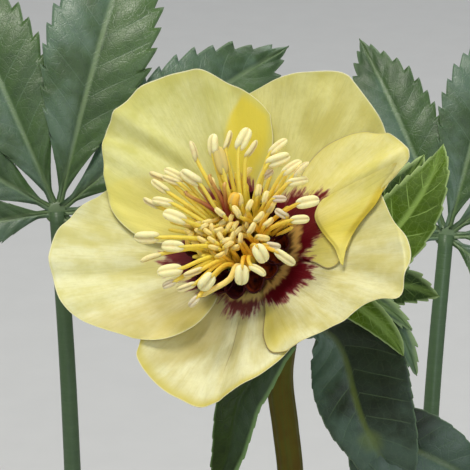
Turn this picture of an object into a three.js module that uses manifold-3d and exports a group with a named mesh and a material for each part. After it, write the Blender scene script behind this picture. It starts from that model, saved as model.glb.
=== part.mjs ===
// A potted hellebore in flower: one open bloom on its stem, the leafy bracts behind it, a tuft of
// palmate leaves, the soil and a plain pot. Millimetres, +Z up, origin at the centre of the pot's base.

import * as THREE from 'three';
import { mergeVertices } from 'three/addons/utils/BufferGeometryUtils.js';
import Module from 'manifold-3d';

const wasm = await Module();
wasm.setup();
const { Manifold, Mesh: SolidMesh } = wasm;

const degrees = Math.PI / 180;
const seatGap = 0.3; // between pieces that touch on the real plant

// Pot
const potHeight = 118;
const potFootRadius = 52;
const potBodyRadius = 69.5; // just under the rim band
const potRimRadius = 74.6;
const potRimBandHeight = 22;
const potFloor = 6;
const potInnerFoot = 46.6;
const potInnerMouth = 67.8;
const potSides = 24;
const drainHoles = 3;
const drainHoleRadius = 5;
const drainHoleCircle = 30;

// Soil
const soilLevel = 104;
const soilBump = 1.6;
const rootDepth = 13; // how deep stems and leaf stalks stand in the soil

// Flower stem and the bloom's place
const stemRadius = 3.0;
const bloomCentre = new THREE.Vector3(-2, -15, 296);
const bloomFacing = new THREE.Vector3(-0.28, -0.672, 0.686).normalize();
const viewRise = 20 * degrees; // the bracts are laid out as seen from this height above the horizon
const bractNode = new THREE.Vector3(4.2, 1.0, 277.5); // where the bracts grow from the stem
const nodeRadius = 3.9;
const stemFoot = new THREE.Vector3(6, 5, soilLevel);

// Bloom
const receptacleRadius = 5.2;
const receptacleTop = 5.6;
const clawRadius = 5.5;
const bloomRadius = 36;
const sepalThickness = 0.75;
const sepalStep = 1.2; // from one layer of sepals to the next
const cupSlope = 0.3;
const cupCurve = 0.0025;
const nectaryCount = 14;
const outerStamens = 34;
const youngStamens = 18;
const carpelCount = 4;

// Leaves
const stalkRadius = 2.2;
const bladeThickness = 0.7;
const hubRadius = 4.2; // where the leaflets of a leaf meet
const leafletAngles = [0, 38, -38, 76, -76, 115, -115];
const leafletSizes = [1, 0.94, 0.94, 0.8, 0.8, 0.6, 0.6];

const colours = {
  terracotta: 0xb5704a,
  soil: 0x3a2a1e,
  stem: 0x6c6a2c,
  sepal: 0xe3d98c,
  nectary: 0x5a1424,
  stamen: 0xe9c657,
  carpel: 0x8c3b24,
  bract: 0x4c7a35,
  leaf: 0x2f5533,
};

const plant = new THREE.Group();

function finish(colour, roughness) {
  return new THREE.MeshStandardMaterial({ color: colour, roughness, metalness: 0 });
}

function addPiece(group, name, geometry, colour, roughness = 0.6) {
  const mesh = new THREE.Mesh(geometry, finish(colour, roughness));
  mesh.name = name;
  group.add(mesh);
}

function toSolid(geometry) {
  const bare = geometry.clone();
  bare.deleteAttribute('normal');
  bare.deleteAttribute('uv');
  const merged = mergeVertices(bare, 1e-4);
  return new Manifold(new SolidMesh({
    numProp: 3,
    vertProperties: new Float32Array(merged.attributes.position.array),
    triVerts: new Uint32Array(merged.index.array),
  }));
}

function toGeometry(solid) {
  const mesh = solid.getMesh();
  const geometry = new THREE.BufferGeometry();
  geometry.setAttribute('position', new THREE.BufferAttribute(new Float32Array(mesh.vertProperties), 3));
  geometry.setIndex(new THREE.BufferAttribute(new Uint32Array(mesh.triVerts), 1));
  geometry.computeVertexNormals();
  return geometry;
}

// Joins overlapping solids in one, with any hollow sealed between them filled.
function fuse(solids) {
  const shells = Manifold.union(solids).decompose();
  return toGeometry(shells.reduce((a, b) => (b.volume() > a.volume() ? b : a)));
}

// A closed sheet from two grids of points of the same size, split into triangles alike on both faces.
function sheetGeometry(top, bottom) {
  const rows = top.length;
  const columns = top[0].length;
  const positions = [...top.flat(), ...bottom.flat()].flatMap((p) => [p.x, p.y, p.z]);
  const upper = (row, column) => row * columns + column;
  const lower = (row, column) => rows * columns + upper(row, column);
  const index = [];
  for (let row = 0; row < rows - 1; row++) {
    for (let column = 0; column < columns - 1; column++) {
      for (const [at, flip] of [[upper, false], [lower, true]]) {
        const [a, b] = [at(row, column), at(row, column + 1)];
        const [c, d] = [at(row + 1, column + 1), at(row + 1, column)];
        index.push(...(flip ? [a, c, b, a, d, c] : [a, b, c, a, c, d]));
      }
    }
  }
  const rim = [];
  for (let column = 0; column < columns - 1; column++) rim.push([0, column]);
  for (let row = 0; row < rows - 1; row++) rim.push([row, columns - 1]);
  for (let column = columns - 1; column > 0; column--) rim.push([rows - 1, column]);
  for (let row = rows - 1; row > 0; row--) rim.push([row, 0]);
  rim.forEach((here, i) => {
    const next = rim[(i + 1) % rim.length];
    const [a, b, c, d] = [upper(...here), upper(...next), lower(...next), lower(...here)];
    index.push(a, d, c, a, c, b);
  });
  const geometry = new THREE.BufferGeometry();
  geometry.setAttribute('position', new THREE.Float32BufferAttribute(positions, 3));
  geometry.setIndex(index);
  geometry.computeVertexNormals();
  return geometry;
}

// A closed tube along a smooth curve through the points. Its radii are pairs of a fraction of the
// length and the radius there.
function tubeGeometry(points, radii, sides) {
  const curve = new THREE.CatmullRomCurve3(points, false, 'centripetal');
  const fine = 100;
  const frames = curve.computeFrenetFrames(fine, false);
  const positions = [];
  for (const [t, radius] of radii) {
    const centre = curve.getPointAt(t);
    const frame = Math.round(t * fine);
    for (let side = 0; side < sides; side++) {
      const turn = (side / sides) * 2 * Math.PI;
      const p = centre.clone()
        .addScaledVector(frames.normals[frame], radius * Math.cos(turn))
        .addScaledVector(frames.binormals[frame], radius * Math.sin(turn));
      positions.push(p.x, p.y, p.z);
    }
  }
  const steps = radii.length - 1;
  const index = [];
  for (let step = 0; step < steps; step++) {
    for (let side = 0; side < sides; side++) {
      const next = (side + 1) % sides;
      const [a, b] = [step * sides + side, step * sides + next];
      const [c, d] = [b + sides, a + sides];
      index.push(a, b, c, a, c, d);
    }
  }
  const last = steps * sides;
  for (let side = 1; side < sides - 1; side++) {
    index.push(0, side + 1, side, last, last + side, last + side + 1);
  }
  const geometry = new THREE.BufferGeometry();
  geometry.setAttribute('position', new THREE.Float32BufferAttribute(positions, 3));
  geometry.setIndex(index);
  return geometry;
}

function tubeSolid(points, radiusAt, steps, sides) {
  const radii = Array.from({ length: steps + 1 }, (_, i) => [i / steps, radiusAt(i / steps)]);
  return toSolid(tubeGeometry(points, radii, sides));
}

function ballSolid(centre, radius, detail) {
  const ball = new THREE.IcosahedronGeometry(radius, detail);
  ball.translate(centre.x, centre.y, centre.z);
  return toSolid(ball);
}

function smoothstep(from, to, x) {
  const t = Math.min(1, Math.max(0, (x - from) / (to - from)));
  return t * t * (3 - 2 * t);
}

// Repeatable draws between 0 and 1.
function seededDraws(seed) {
  let state = seed;
  return () => {
    state = (state * 1664525 + 1013904223) % 4294967296;
    return state / 4294967296;
  };
}

// ---- Pot and soil

function potInnerRadius(z) {
  return potInnerFoot + ((potInnerMouth - potInnerFoot) * (z - potFloor)) / (potHeight - potFloor);
}

function latheFrom(profile) {
  return new THREE.LatheGeometry(profile.map(([r, z]) => new THREE.Vector2(r, z)), potSides)
    .rotateX(Math.PI / 2);
}

function makePot() {
  const bandFoot = potHeight - potRimBandHeight;
  const body = toSolid(latheFrom([
    [0, 0], [potFootRadius - 1.5, 0], [potFootRadius, 1.5],
    [potBodyRadius, bandFoot - 1], [potRimRadius - 1, bandFoot], [potRimRadius - 0.6, bandFoot + 2],
    [potRimRadius, potHeight - 2.5], [potRimRadius - 1.6, potHeight],
    [potInnerMouth + 1.7, potHeight], [potInnerMouth, potHeight - 1.5],
    [potInnerFoot, potFloor + 1.5], [potInnerFoot - 1.6, potFloor], [0, potFloor],
  ]));
  let pot = body;
  for (let hole = 0; hole < drainHoles; hole++) {
    const turn = (hole / drainHoles) * 2 * Math.PI + Math.PI / 2;
    const drill = new THREE.CylinderGeometry(drainHoleRadius, drainHoleRadius, 4 * potFloor, 10)
      .rotateX(Math.PI / 2)
      .translate(drainHoleCircle * Math.cos(turn), drainHoleCircle * Math.sin(turn), 0);
    pot = pot.subtract(toSolid(drill));
  }
  addPiece(plant, 'pot', toGeometry(pot), colours.terracotta, 0.85);
}

function soilHeight(x, y) {
  return soilLevel + soilBump * (Math.sin(0.13 * x + 1.1) * Math.cos(0.11 * y - 0.4)
    + 0.5 * Math.sin(0.23 * y + 0.31 * x));
}

function makeSoil(roots) {
  const wall = potInnerRadius(soilLevel) - seatGap - 0.2; // the facets take a little off the true radius
  const soil = latheFrom([
    [0, potFloor + seatGap], [potInnerFoot - 2.2, potFloor + seatGap], [potInnerFoot - 0.4, potFloor + 2],
    [wall, soilLevel - 1], [wall - 5, soilLevel], [wall - 20, soilLevel], [wall - 37, soilLevel],
    [wall - 52, soilLevel], [0, soilLevel],
  ]);
  const places = soil.attributes.position;
  for (let i = 0; i < places.count; i++) {
    if (places.getZ(i) > soilLevel - 0.5) {
      places.setZ(i, soilHeight(places.getX(i), places.getY(i)));
    }
  }
  let bed = toSolid(soil);
  for (const { x, y, radius } of roots) {
    const holeRadius = radius * 1.12 + 0.4;
    const drill = new THREE.CylinderGeometry(holeRadius, holeRadius, 2 * rootDepth, 8)
      .rotateX(Math.PI / 2)
      .translate(x, y, soilLevel - seatGap);
    bed = bed.subtract(toSolid(drill));
  }
  addPiece(plant, 'soil', toGeometry(bed), colours.soil, 0.95);
}

// ---- Flower stem with the receptacle at its head

function alongAxis(distance) {
  return bloomCentre.clone().addScaledVector(bloomFacing, distance);
}

function placeOnBloom(object) {
  const across = new THREE.Vector3(1, 0, 0).addScaledVector(bloomFacing, -bloomFacing.x).normalize();
  const up = bloomFacing.clone().cross(across);
  const frame = new THREE.Matrix4().makeBasis(across, up, bloomFacing).setPosition(bloomCentre);
  object.applyMatrix4(frame);
  return object;
}

function makeFlowerStem() {
  const route = [
    stemFoot.clone().setZ(soilLevel - rootDepth), stemFoot.clone().setZ(soilLevel + 14),
    new THREE.Vector3(5.6, 4.4, 180), new THREE.Vector3(4.3, 3.4, 240),
    new THREE.Vector3(4.0, 2.8, 264), bractNode, alongAxis(-17), alongAxis(-8), alongAxis(-1),
  ];
  const waist = 0.12; // how far the stem narrows at the middle, as a fraction
  const stem = tubeSolid(route, (t) => stemRadius * (1 - waist * Math.sin(Math.PI * t)), 18, 7);
  const head = new THREE.LatheGeometry([
    [0, -5.5], [stemRadius, -5.5], [receptacleRadius, -1.4],
    [receptacleRadius, receptacleTop], [0, receptacleTop],
  ].map(([r, z]) => new THREE.Vector2(r, z)), 10).rotateX(Math.PI / 2);
  const solids = [stem, ballSolid(bractNode, nodeRadius, 1), toSolid(placeOnBloom(head))];
  addPiece(plant, 'flower_stem', fuse(solids), colours.stem);
}

// ---- Sepals: each is a wide sheet on one shared cup, given by its two sides and its far rim in
// bearings (degrees round the bloom) and radii

function sepalHeight(x, y, layer) {
  const r = Math.hypot(x, y);
  const bearing = Math.atan2(y, x);
  const lift = layer * sepalStep * (0.35 + 0.65 * smoothstep(6, 12.5, r));
  const outward = r / bloomRadius;
  const wave = 0.9 * outward ** 2 * Math.sin(5 * bearing + 0.6) + 0.5 * outward ** 3 * Math.sin(11 * bearing);
  return cupSlope * r + cupCurve * r * r + lift + wave;
}

const sepals = [
  {
    name: 'sepal_bottom', layer: 0,
    left: [[-88, clawRadius], [-78, 9], [-66, 13], [-58, 18], [-60, 23], [-66, 25.8]],
    right: [[-128, clawRadius], [-137, 10], [-143, 16], [-143, 22.5], [-137, 29]],
    rim: [[-80, 28.6], [-92, 32.3], [-102, 36.6], [-111, 35.8], [-120, 33.7], [-130, 31.4]],
  },
  {
    name: 'sepal_left', layer: 1,
    left: [[212, clawRadius], [225, 9], [236, 13.5], [236, 19], [229, 25], [220, 29]],
    right: [[168, clawRadius], [152, 9], [138, 14], [134, 20], [143, 27.2], [154, 31.2]],
    rim: [[210, 33], [200, 36.6], [189, 38], [177, 37.8], [165, 35]],
  },
  {
    name: 'sepal_lower_right', layer: 1,
    left: [[-18, clawRadius], [-10, 9], [3, 14], [10, 21], [11, 26.5], [9, 29.6]],
    right: [[-58, clawRadius], [-66, 9], [-76, 14], [-80, 20], [-77, 24.7], [-70, 26.6]],
    rim: [[-2, 31], [-12, 35.3], [-20, 37], [-27, 36.4], [-36, 31], [-48, 28.7], [-60, 26.9]],
  },
  {
    name: 'sepal_top', layer: 1,
    left: [[83, clawRadius], [92, 10], [98, 16], [98.5, 22.5], [94, 27.3], [88, 30.5]],
    right: [[48, clawRadius], [38, 9], [27, 14], [22, 21], [22, 28], [26, 33.8]],
    rim: [[78, 33], [66, 35.6], [54, 37.8], [44, 37.2], [34, 35.8]],
  },
  {
    name: 'sepal_upper_left', layer: 2,
    left: [[149, clawRadius], [160, 9.5], [170, 14.5], [171, 20.5], [162, 27.3], [150, 31.7]],
    right: [[105, clawRadius], [94, 10], [80, 15.5], [73, 21.5], [76, 27]],
    rim: [[138, 36], [120, 38.5], [102, 36.3], [88, 31.6], [80, 28.8]],
  },
  {
    name: 'sepal_right', layer: 2,
    left: [[32, clawRadius], [41, 10], [48, 15.5], [49, 20], [45.5, 24.3], [39, 28.6], [33, 32]],
    right: [
      [-4, clawRadius], [-10, 10], [-19, 14.5], [-22, 18.4], [-12, 21.4], [-2, 23], [5, 26.5], [10.5, 31],
    ],
    rim: [[27, 35], [20.5, 36.7], [15, 37.2], [12, 34.4]],
  },
];

function polarPoint([bearing, radius]) {
  return new THREE.Vector3(radius * Math.cos(bearing * degrees), radius * Math.sin(bearing * degrees), 0);
}

function throughPoints(polars) {
  return new THREE.CatmullRomCurve3(polars.map(polarPoint), false, 'centripetal');
}

// The flat grid between two sides, the claw and the rim (a Coons patch).
function sepalPlan({ left, right, rim }, rows, columns) {
  const leftSide = throughPoints(left);
  const rightSide = throughPoints(right);
  const farRim = throughPoints([left.at(-1), ...rim, right.at(-1)]);
  const clawLeft = polarPoint(left[0]);
  const clawRight = polarPoint(right[0]);
  const grid = [];
  for (let row = 0; row <= rows; row++) {
    const t = row / rows;
    const atLeft = leftSide.getPointAt(t);
    const atRight = rightSide.getPointAt(t);
    const line = [];
    for (let column = 0; column <= columns; column++) {
      const s = column / columns;
      const p = atLeft.clone().multiplyScalar(1 - s).addScaledVector(atRight, s)
        .addScaledVector(farRim.getPointAt(s), t)
        .addScaledVector(farRim.getPointAt(0), -t * (1 - s))
        .addScaledVector(farRim.getPointAt(1), -t * s);
      const claw = clawLeft.clone().lerp(clawRight, s).setLength(clawRadius);
      const chord = clawLeft.clone().multiplyScalar(1 - s).addScaledVector(clawRight, s);
      line.push(p.addScaledVector(claw.sub(chord), 1 - t));
    }
    grid.push(line);
  }
  return grid;
}

function makeSepals(bloom) {
  for (const sepal of sepals) {
    const plan = sepalPlan(sepal, 8, 9);
    const lift = (p, drop) => new THREE.Vector3(p.x, p.y, sepalHeight(p.x, p.y, sepal.layer) - drop);
    const top = plan.map((line) => line.map((p) => lift(p, 0)));
    const bottom = plan.map((line) => line.map((p) => lift(p, sepalThickness)));
    const sheet = toGeometry(toSolid(sheetGeometry(top, bottom)));
    addPiece(bloom, sepal.name, sheet, colours.sepal, 0.5);
  }
}

// ---- Nectaries: a ring of small goblets round the receptacle, open at the mouth

function makeNectaries(bloom) {
  const collarRadius = 6.55;
  const collarHeight = 5.0;
  const collarThickness = 1.7;
  const lean = 41 * degrees; // of each goblet, out from the bloom's axis
  const goblet = [[0, 0], [1.5, 2.4], [2.25, 6.6], [1.65, 6.3], [0, 3.6]];
  const collar = new THREE.TorusGeometry(collarRadius, collarThickness / 2, 5, 21)
    .translate(0, 0, collarHeight);
  const solids = [toSolid(collar)];
  for (let i = 0; i < nectaryCount; i++) {
    const turn = ((i + 0.5) / nectaryCount) * 2 * Math.PI;
    const cup = new THREE.LatheGeometry(goblet.map(([r, z]) => new THREE.Vector2(r, z)), 6)
      .rotateX(Math.PI / 2)
      .rotateY(lean)
      .translate(collarRadius, 0, collarHeight)
      .rotateZ(turn);
    solids.push(toSolid(cup));
  }
  addPiece(bloom, 'nectaries', fuse(solids), colours.nectary, 0.35);
}

// ---- Stamens: shed ones lean far out, the young ones crowd round the carpels

// One stamen as a slim tube that swells into its anther; stations are fractions of its length.
function stamenSolid(turn, foot, reach, height, sides, radii) {
  const direction = new THREE.Vector3(Math.cos(turn), Math.sin(turn), 0);
  const at = (r, z) => direction.clone().multiplyScalar(r).setZ(z);
  const route = [
    at(foot, receptacleTop + 0.6), at(foot + 0.25 * (reach - foot), 0.62 * height), at(reach, height),
  ];
  return toSolid(tubeGeometry(route, radii, sides));
}

function makeStamens(bloom) {
  const draw = seededDraws(11);
  const [bedInner, bedOuter, bedDepth] = [2.6, 5.1, 1.2]; // the ring of feet that joins them
  const bed = new THREE.LatheGeometry([
    [bedInner, 0], [bedOuter, 0], [bedOuter, bedDepth], [bedInner, bedDepth], [bedInner, 0],
  ].map(([r, z]) => new THREE.Vector2(r, z)), 10)
    .rotateX(Math.PI / 2)
    .translate(0, 0, receptacleTop + seatGap);
  const solids = [toSolid(bed)];
  const shed = [[0, 0.42], [0.4, 0.45], [0.74, 0.42], [0.8, 1.15], [0.95, 1.2], [1, 0.6]];
  const young = [[0, 0.42], [0.7, 0.5], [0.84, 0.85], [1, 0.45]];
  const shedReach = 16.6; // from the axis, less on the low side of the bloom
  const shedHeight = 20.2;
  for (let i = 0; i < outerStamens; i++) {
    const turn = ((i + 0.4 * draw()) / outerStamens) * 2 * Math.PI;
    const innerRow = i % 2;
    const lowSide = Math.max(0, -Math.sin(turn)) ** 1.5;
    const reach = shedReach - 3.6 * lowSide + 1.4 * draw() - 3.6 * innerRow;
    const height = shedHeight + 1.6 * draw() + 2 * innerRow;
    solids.push(stamenSolid(turn, 4.6 - 0.8 * innerRow, reach, height, 4, shed));
  }
  for (let i = 0; i < youngStamens; i++) {
    const turn = ((i + 0.5) / youngStamens) * 2 * Math.PI;
    const reach = 5.2 + 2.4 * draw();
    const height = 11.5 + 3 * draw() - 0.5 * reach;
    solids.push(stamenSolid(turn, 3.3, reach, height, 3, young));
  }
  addPiece(bloom, 'stamens', fuse(solids), colours.stamen, 0.55);
}

// ---- Carpels: a tight sheaf whose styles part at the tips

function makeCarpels(bloom) {
  const lean = new THREE.Vector3(-1.5, 2.2, 0);
  const foot = receptacleTop + seatGap;
  const base = new THREE.CylinderGeometry(1.9, 2.1, 4, 8).rotateX(Math.PI / 2).translate(0, 0, foot + 2);
  const solids = [toSolid(base)];
  for (let i = 0; i < carpelCount; i++) {
    const turn = (i / carpelCount) * 2 * Math.PI + 0.3;
    const out = new THREE.Vector3(Math.cos(turn), Math.sin(turn), 0);
    const at = (r, z, bend) => out.clone().multiplyScalar(r).setZ(z).addScaledVector(lean, bend);
    const route = [at(0.9, foot + 2, 0), at(1.0, 12, 0.2), at(1.6, 17, 0.9), at(3.2, 21.5, 1.7)];
    solids.push(tubeSolid(route, (t) => 0.95 - 0.45 * t, 4, 4));
  }
  addPiece(bloom, 'carpels', fuse(solids), colours.carpel, 0.5);
}

// ---- Leaf blades: a toothed sheet folded along its midrib, on a smooth spine

function bladeSolid({ spine, halfWidth, skew = 0, facing, rows, fold, foot, taper }) {
  const curve = new THREE.CatmullRomCurve3(spine, false, 'centripetal');
  const top = [];
  const bottom = [];
  for (let row = 0; row <= rows; row++) {
    const t = row / rows;
    const centre = curve.getPointAt(t);
    const along = curve.getTangentAt(t);
    const side = facing.clone().cross(along).normalize();
    const normal = along.clone().cross(side).normalize();
    const swell = Math.sin(Math.PI * t ** taper[0]) ** taper[1];
    const tooth = row % 2 === 1;
    const reach = Math.max(row === rows ? 0.4 : foot, halfWidth * swell * (tooth ? 1 : 0.8));
    const forward = tooth && row < rows ? (0.4 * curve.getLength()) / rows : 0;
    const margin = (way) => centre.clone()
      .addScaledVector(side, way * reach * (1 + skew * way))
      .addScaledVector(normal, fold * reach)
      .addScaledVector(along, forward);
    const line = [margin(-1), centre, margin(1)];
    top.push(line.map((p) => p.clone().addScaledVector(normal, bladeThickness / 2)));
    bottom.push(line.map((p) => p.clone().addScaledVector(normal, -bladeThickness / 2)));
  }
  return toSolid(sheetGeometry(bottom, top));
}

// The spine of a leaflet that sets off at a pitch and arches over.
function archedSpine(start, direction, facing, length, pitch, arch) {
  const points = [];
  for (let i = 0; i <= 4; i++) {
    const t = i / 4;
    const along = (length / arch) * (Math.sin(pitch) - Math.sin(pitch - arch * t));
    const rise = (length / arch) * (Math.cos(pitch - arch * t) - Math.cos(pitch));
    points.push(start.clone().addScaledVector(direction, along).addScaledVector(facing, rise));
  }
  return points;
}

// ---- Bracts round the node behind the bloom. Points are offsets from the bloom's centre:
// to the right, up and forward, as seen from in front and a little above.

function nearBloom([right, up, forward]) {
  const [sin, cos] = [Math.sin(viewRise), Math.cos(viewRise)];
  return new THREE.Vector3(right, up * sin - forward * cos, up * cos + forward * sin).add(bloomCentre);
}

const bracts = [
  {
    name: 'bract_lower_right',
    lobes: [
      {
        halfWidth: 10, skew: 0.15, facing: [-0.35, 0.1, 1], rows: 12,
        spine: [[10.9, -14.2, -18.8], [15.6, -14.6, -20], [17.8, -18.4, -20.5], [19.4, -28.4, -19],
          [22.8, -36.6, -17.5], [27.2, -47.6, -19], [30.8, -57, -24]],
      },
      {
        halfWidth: 7, facing: [-0.2, 0.1, 1], rows: 9,
        spine: [[22.2, -35, -17.6], [20.5, -43, -17], [17.5, -51, -18], [14, -58, -22]],
      },
      {
        halfWidth: 8, facing: [0.1, 0.1, 1], rows: 9,
        spine: [[22.5, -36, -17.6], [31, -39, -16], [41, -43, -18], [50, -49, -23]],
      },
    ],
  },
  {
    name: 'bract_lower_left',
    lobes: [
      {
        halfWidth: 6.8, facing: [0.25, 0.1, 1], rows: 11,
        spine: [[5, -15.7, -17], [0.8, -22.6, -14.6], [-3.6, -30.6, -13.5], [-5.8, -41.6, -14], [-7.5, -52, -19]],
      },
      {
        halfWidth: 4.5, facing: [0.1, 0.3, 1], rows: 8,
        spine: [[5.0, -15.7, -17.0], [-2, -20, -22], [-9, -23.5, -29], [-15, -27, -37]],
      },
    ],
  },
  {
    name: 'bract_right',
    lobes: [
      {
        halfWidth: 6, facing: [-0.1, -0.75, 0.65], rows: 10,
        spine: [[11.2, -9.8, -23.8], [15.5, -7.6, -17.5], [21, -10.2, -12.5], [27, -14.2, -11.5],
          [35, -21, -12.5], [44, -30, -18]],
      },
      {
        halfWidth: 6.5, facing: [0, 0.3, 1], rows: 10,
        spine: [[11.2, -9.8, -23.8], [18, -7.4, -25.5], [25, -10.6, -26.5], [31, -16, -27],
          [37, -23.5, -28], [43, -32, -32]],
      },
      {
        halfWidth: 8.5, facing: [-0.4, 0.4, 1], rows: 10,
        spine: [[11.2, -9.8, -23.8], [20, -5, -25.5], [28, 3, -24], [35.5, 12.5, -25], [44, 22, -31]],
      },
    ],
  },
  {
    name: 'bract_upper',
    lobes: [
      {
        halfWidth: 8, facing: [0, 0.2, 1], rows: 9,
        spine: [[5.6, -8.1, -25.8], [4, 2, -30], [1, 14, -33], [-2, 25, -37]],
      },
      {
        halfWidth: 7, facing: [-0.2, 0.1, 1], rows: 9,
        spine: [[5.6, -8.1, -25.8], [13, 1, -31], [18, 11, -34], [22, 21, -39]],
      },
    ],
  },
  {
    name: 'bract_left',
    lobes: [
      {
        halfWidth: 7.5, facing: [0.3, 0.2, 1], rows: 9,
        spine: [[0.5, -11.3, -22], [-8, -4, -25], [-17, 4, -29], [-25, 11, -35]],
      },
      {
        halfWidth: 5, facing: [0.3, 0.5, 1], rows: 8,
        spine: [[0.5, -11.3, -22], [-8, -12, -24], [-17, -11.5, -26], [-25, -11, -30]],
      },
    ],
  },
];

function makeBracts() {
  const fromView = (v) => nearBloom(v).sub(bloomCentre).normalize();
  const baseRadius = 1.9; // of the lump that joins a bract's lobes
  for (const { name, lobes } of bracts) {
    const solids = [ballSolid(nearBloom(lobes[0].spine[0]), baseRadius, 0)];
    for (const { facing, spine, ...shape } of lobes) {
      solids.push(bladeSolid({
        ...shape, spine: spine.map(nearBloom), facing: fromView(facing),
        fold: 0.16, foot: 1.6, taper: [0.85, 0.9],
      }));
    }
    addPiece(plant, name, fuse(solids), colours.bract);
  }
}

// ---- Palmate leaves on stalks that rise from the soil

// Headings, pitches and rolls are in degrees: where the middle leaflet points round the pot, how far
// it rises, and how far the leaf is turned in its own plane.
const leaves = [
  { root: [-40, 18], hub: [-44.5, 32, 290], heading: 90, pitch: 60, roll: -14, length: 70 },
  { root: [34, 24], hub: [41, 53, 277], heading: 90, pitch: 60, roll: -16, length: 54 },
  { root: [27, -4], hub: [112, -4, 214], heading: 2, pitch: 6, roll: 0, length: 66 },
  { root: [-18, 2], hub: [-112, 6, 226], heading: 176, pitch: 10, roll: 0, length: 68 },
  { root: [-8, -16], hub: [-66, -84, 178], heading: 232, pitch: 2, roll: 0, length: 62 },
  { root: [16, -20], hub: [58, -92, 166], heading: 302, pitch: 0, roll: 0, length: 60 },
];

function makeLeaf({ root, hub, heading, pitch, roll, length }, name) {
  const foot = new THREE.Vector3(root[0], root[1], soilLevel);
  const top = new THREE.Vector3(...hub);
  const forward = new THREE.Vector3(Math.cos(heading * degrees), Math.sin(heading * degrees), 0);
  const side = new THREE.Vector3(0, 0, 1).cross(forward);
  const ahead = forward.clone().applyAxisAngle(side, -pitch * degrees);
  const facing = ahead.clone().cross(side);
  const route = [foot.clone().setZ(soilLevel - rootDepth), foot.clone().setZ(soilLevel + 4)];
  for (const t of [0.2, 0.45, 0.72, 1]) {
    const rise = 1 - (1 - t) ** 1.35;
    route.push(foot.clone().lerp(top, t ** 1.7).setZ(soilLevel + (top.z - soilLevel) * rise));
  }
  const hubDisc = new THREE.CylinderGeometry(hubRadius, hubRadius - 1, 2, 6)
    .applyQuaternion(new THREE.Quaternion().setFromUnitVectors(new THREE.Vector3(0, 1, 0), facing))
    .translate(...hub);
  const solids = [tubeSolid(route, (t) => stalkRadius * (1 - 0.25 * t), 10, 5), toSolid(hubDisc)];
  leafletAngles.forEach((angle, i) => {
    const direction = ahead.clone().applyAxisAngle(facing, (angle + roll) * degrees);
    const reach = length * leafletSizes[i];
    const start = top.clone().addScaledVector(direction, hubRadius - 1);
    const spine = archedSpine(start, direction, facing, reach, 0.3, 0.75 + 0.1 * (i % 3));
    solids.push(bladeSolid({
      spine, halfWidth: 0.165 * reach, facing, rows: 9, fold: 0.2, foot: 0.9, taper: [1.05, 1.25],
    }));
  });
  addPiece(plant, name, fuse(solids), colours.leaf);
}

makePot();
makeSoil([
  { x: stemFoot.x, y: stemFoot.y, radius: stemRadius },
  ...leaves.map(({ root }) => ({ x: root[0], y: root[1], radius: stalkRadius })),
]);
makeFlowerStem();

const bloom = new THREE.Group();
makeSepals(bloom);
makeNectaries(bloom);
makeStamens(bloom);
makeCarpels(bloom);
placeOnBloom(bloom);
plant.add(bloom);

makeBracts();
leaves.forEach((leaf, i) => makeLeaf(leaf, `leaf_${i + 1}`));

export default plant;
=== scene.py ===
import math

import bpy
import numpy as np
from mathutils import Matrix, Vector


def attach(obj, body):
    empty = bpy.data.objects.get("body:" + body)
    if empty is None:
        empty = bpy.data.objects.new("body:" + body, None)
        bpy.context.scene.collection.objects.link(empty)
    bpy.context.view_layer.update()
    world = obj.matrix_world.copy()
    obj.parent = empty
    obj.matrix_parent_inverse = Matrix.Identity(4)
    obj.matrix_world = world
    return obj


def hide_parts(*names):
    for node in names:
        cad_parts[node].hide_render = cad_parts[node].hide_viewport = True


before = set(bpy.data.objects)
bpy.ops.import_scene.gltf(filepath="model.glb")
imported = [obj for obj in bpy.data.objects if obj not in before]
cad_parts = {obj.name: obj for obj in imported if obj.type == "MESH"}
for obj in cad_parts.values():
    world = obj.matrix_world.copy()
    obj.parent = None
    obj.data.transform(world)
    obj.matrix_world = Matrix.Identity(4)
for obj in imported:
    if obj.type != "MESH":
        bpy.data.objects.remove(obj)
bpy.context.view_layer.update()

# A potted hellebore in flower. Shapes are worked out in millimetres and become metres in the mesh.
mm = 0.001
degree = math.pi / 180
fullTurn = 2 * math.pi

plant = {
    "bloomCentre": (-2, -15, 296),
    "bloomFacing": (-0.28, -0.672, 0.686),
    "receptacleTop": 5.6,
    "bractNode": (4.2, 1.0, 277.5),
    "stemFoot": (6, 5),
    "soilLevel": 104,
    "rootDepth": 13,
    "viewRise": 20,  # degrees above the horizon that the camera looks down from
}


# Numbers and curves

def unit(v):
    v = np.asarray(v, float)
    return v / np.linalg.norm(v)


def smoothstep(low, high, x):
    t = np.clip((x - low) / (high - low), 0, 1)
    return t * t * (3 - 2 * t)


def between(a, b, low, high, t):
    return ((high - t) * a + (t - low) * b) / (high - low)


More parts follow.
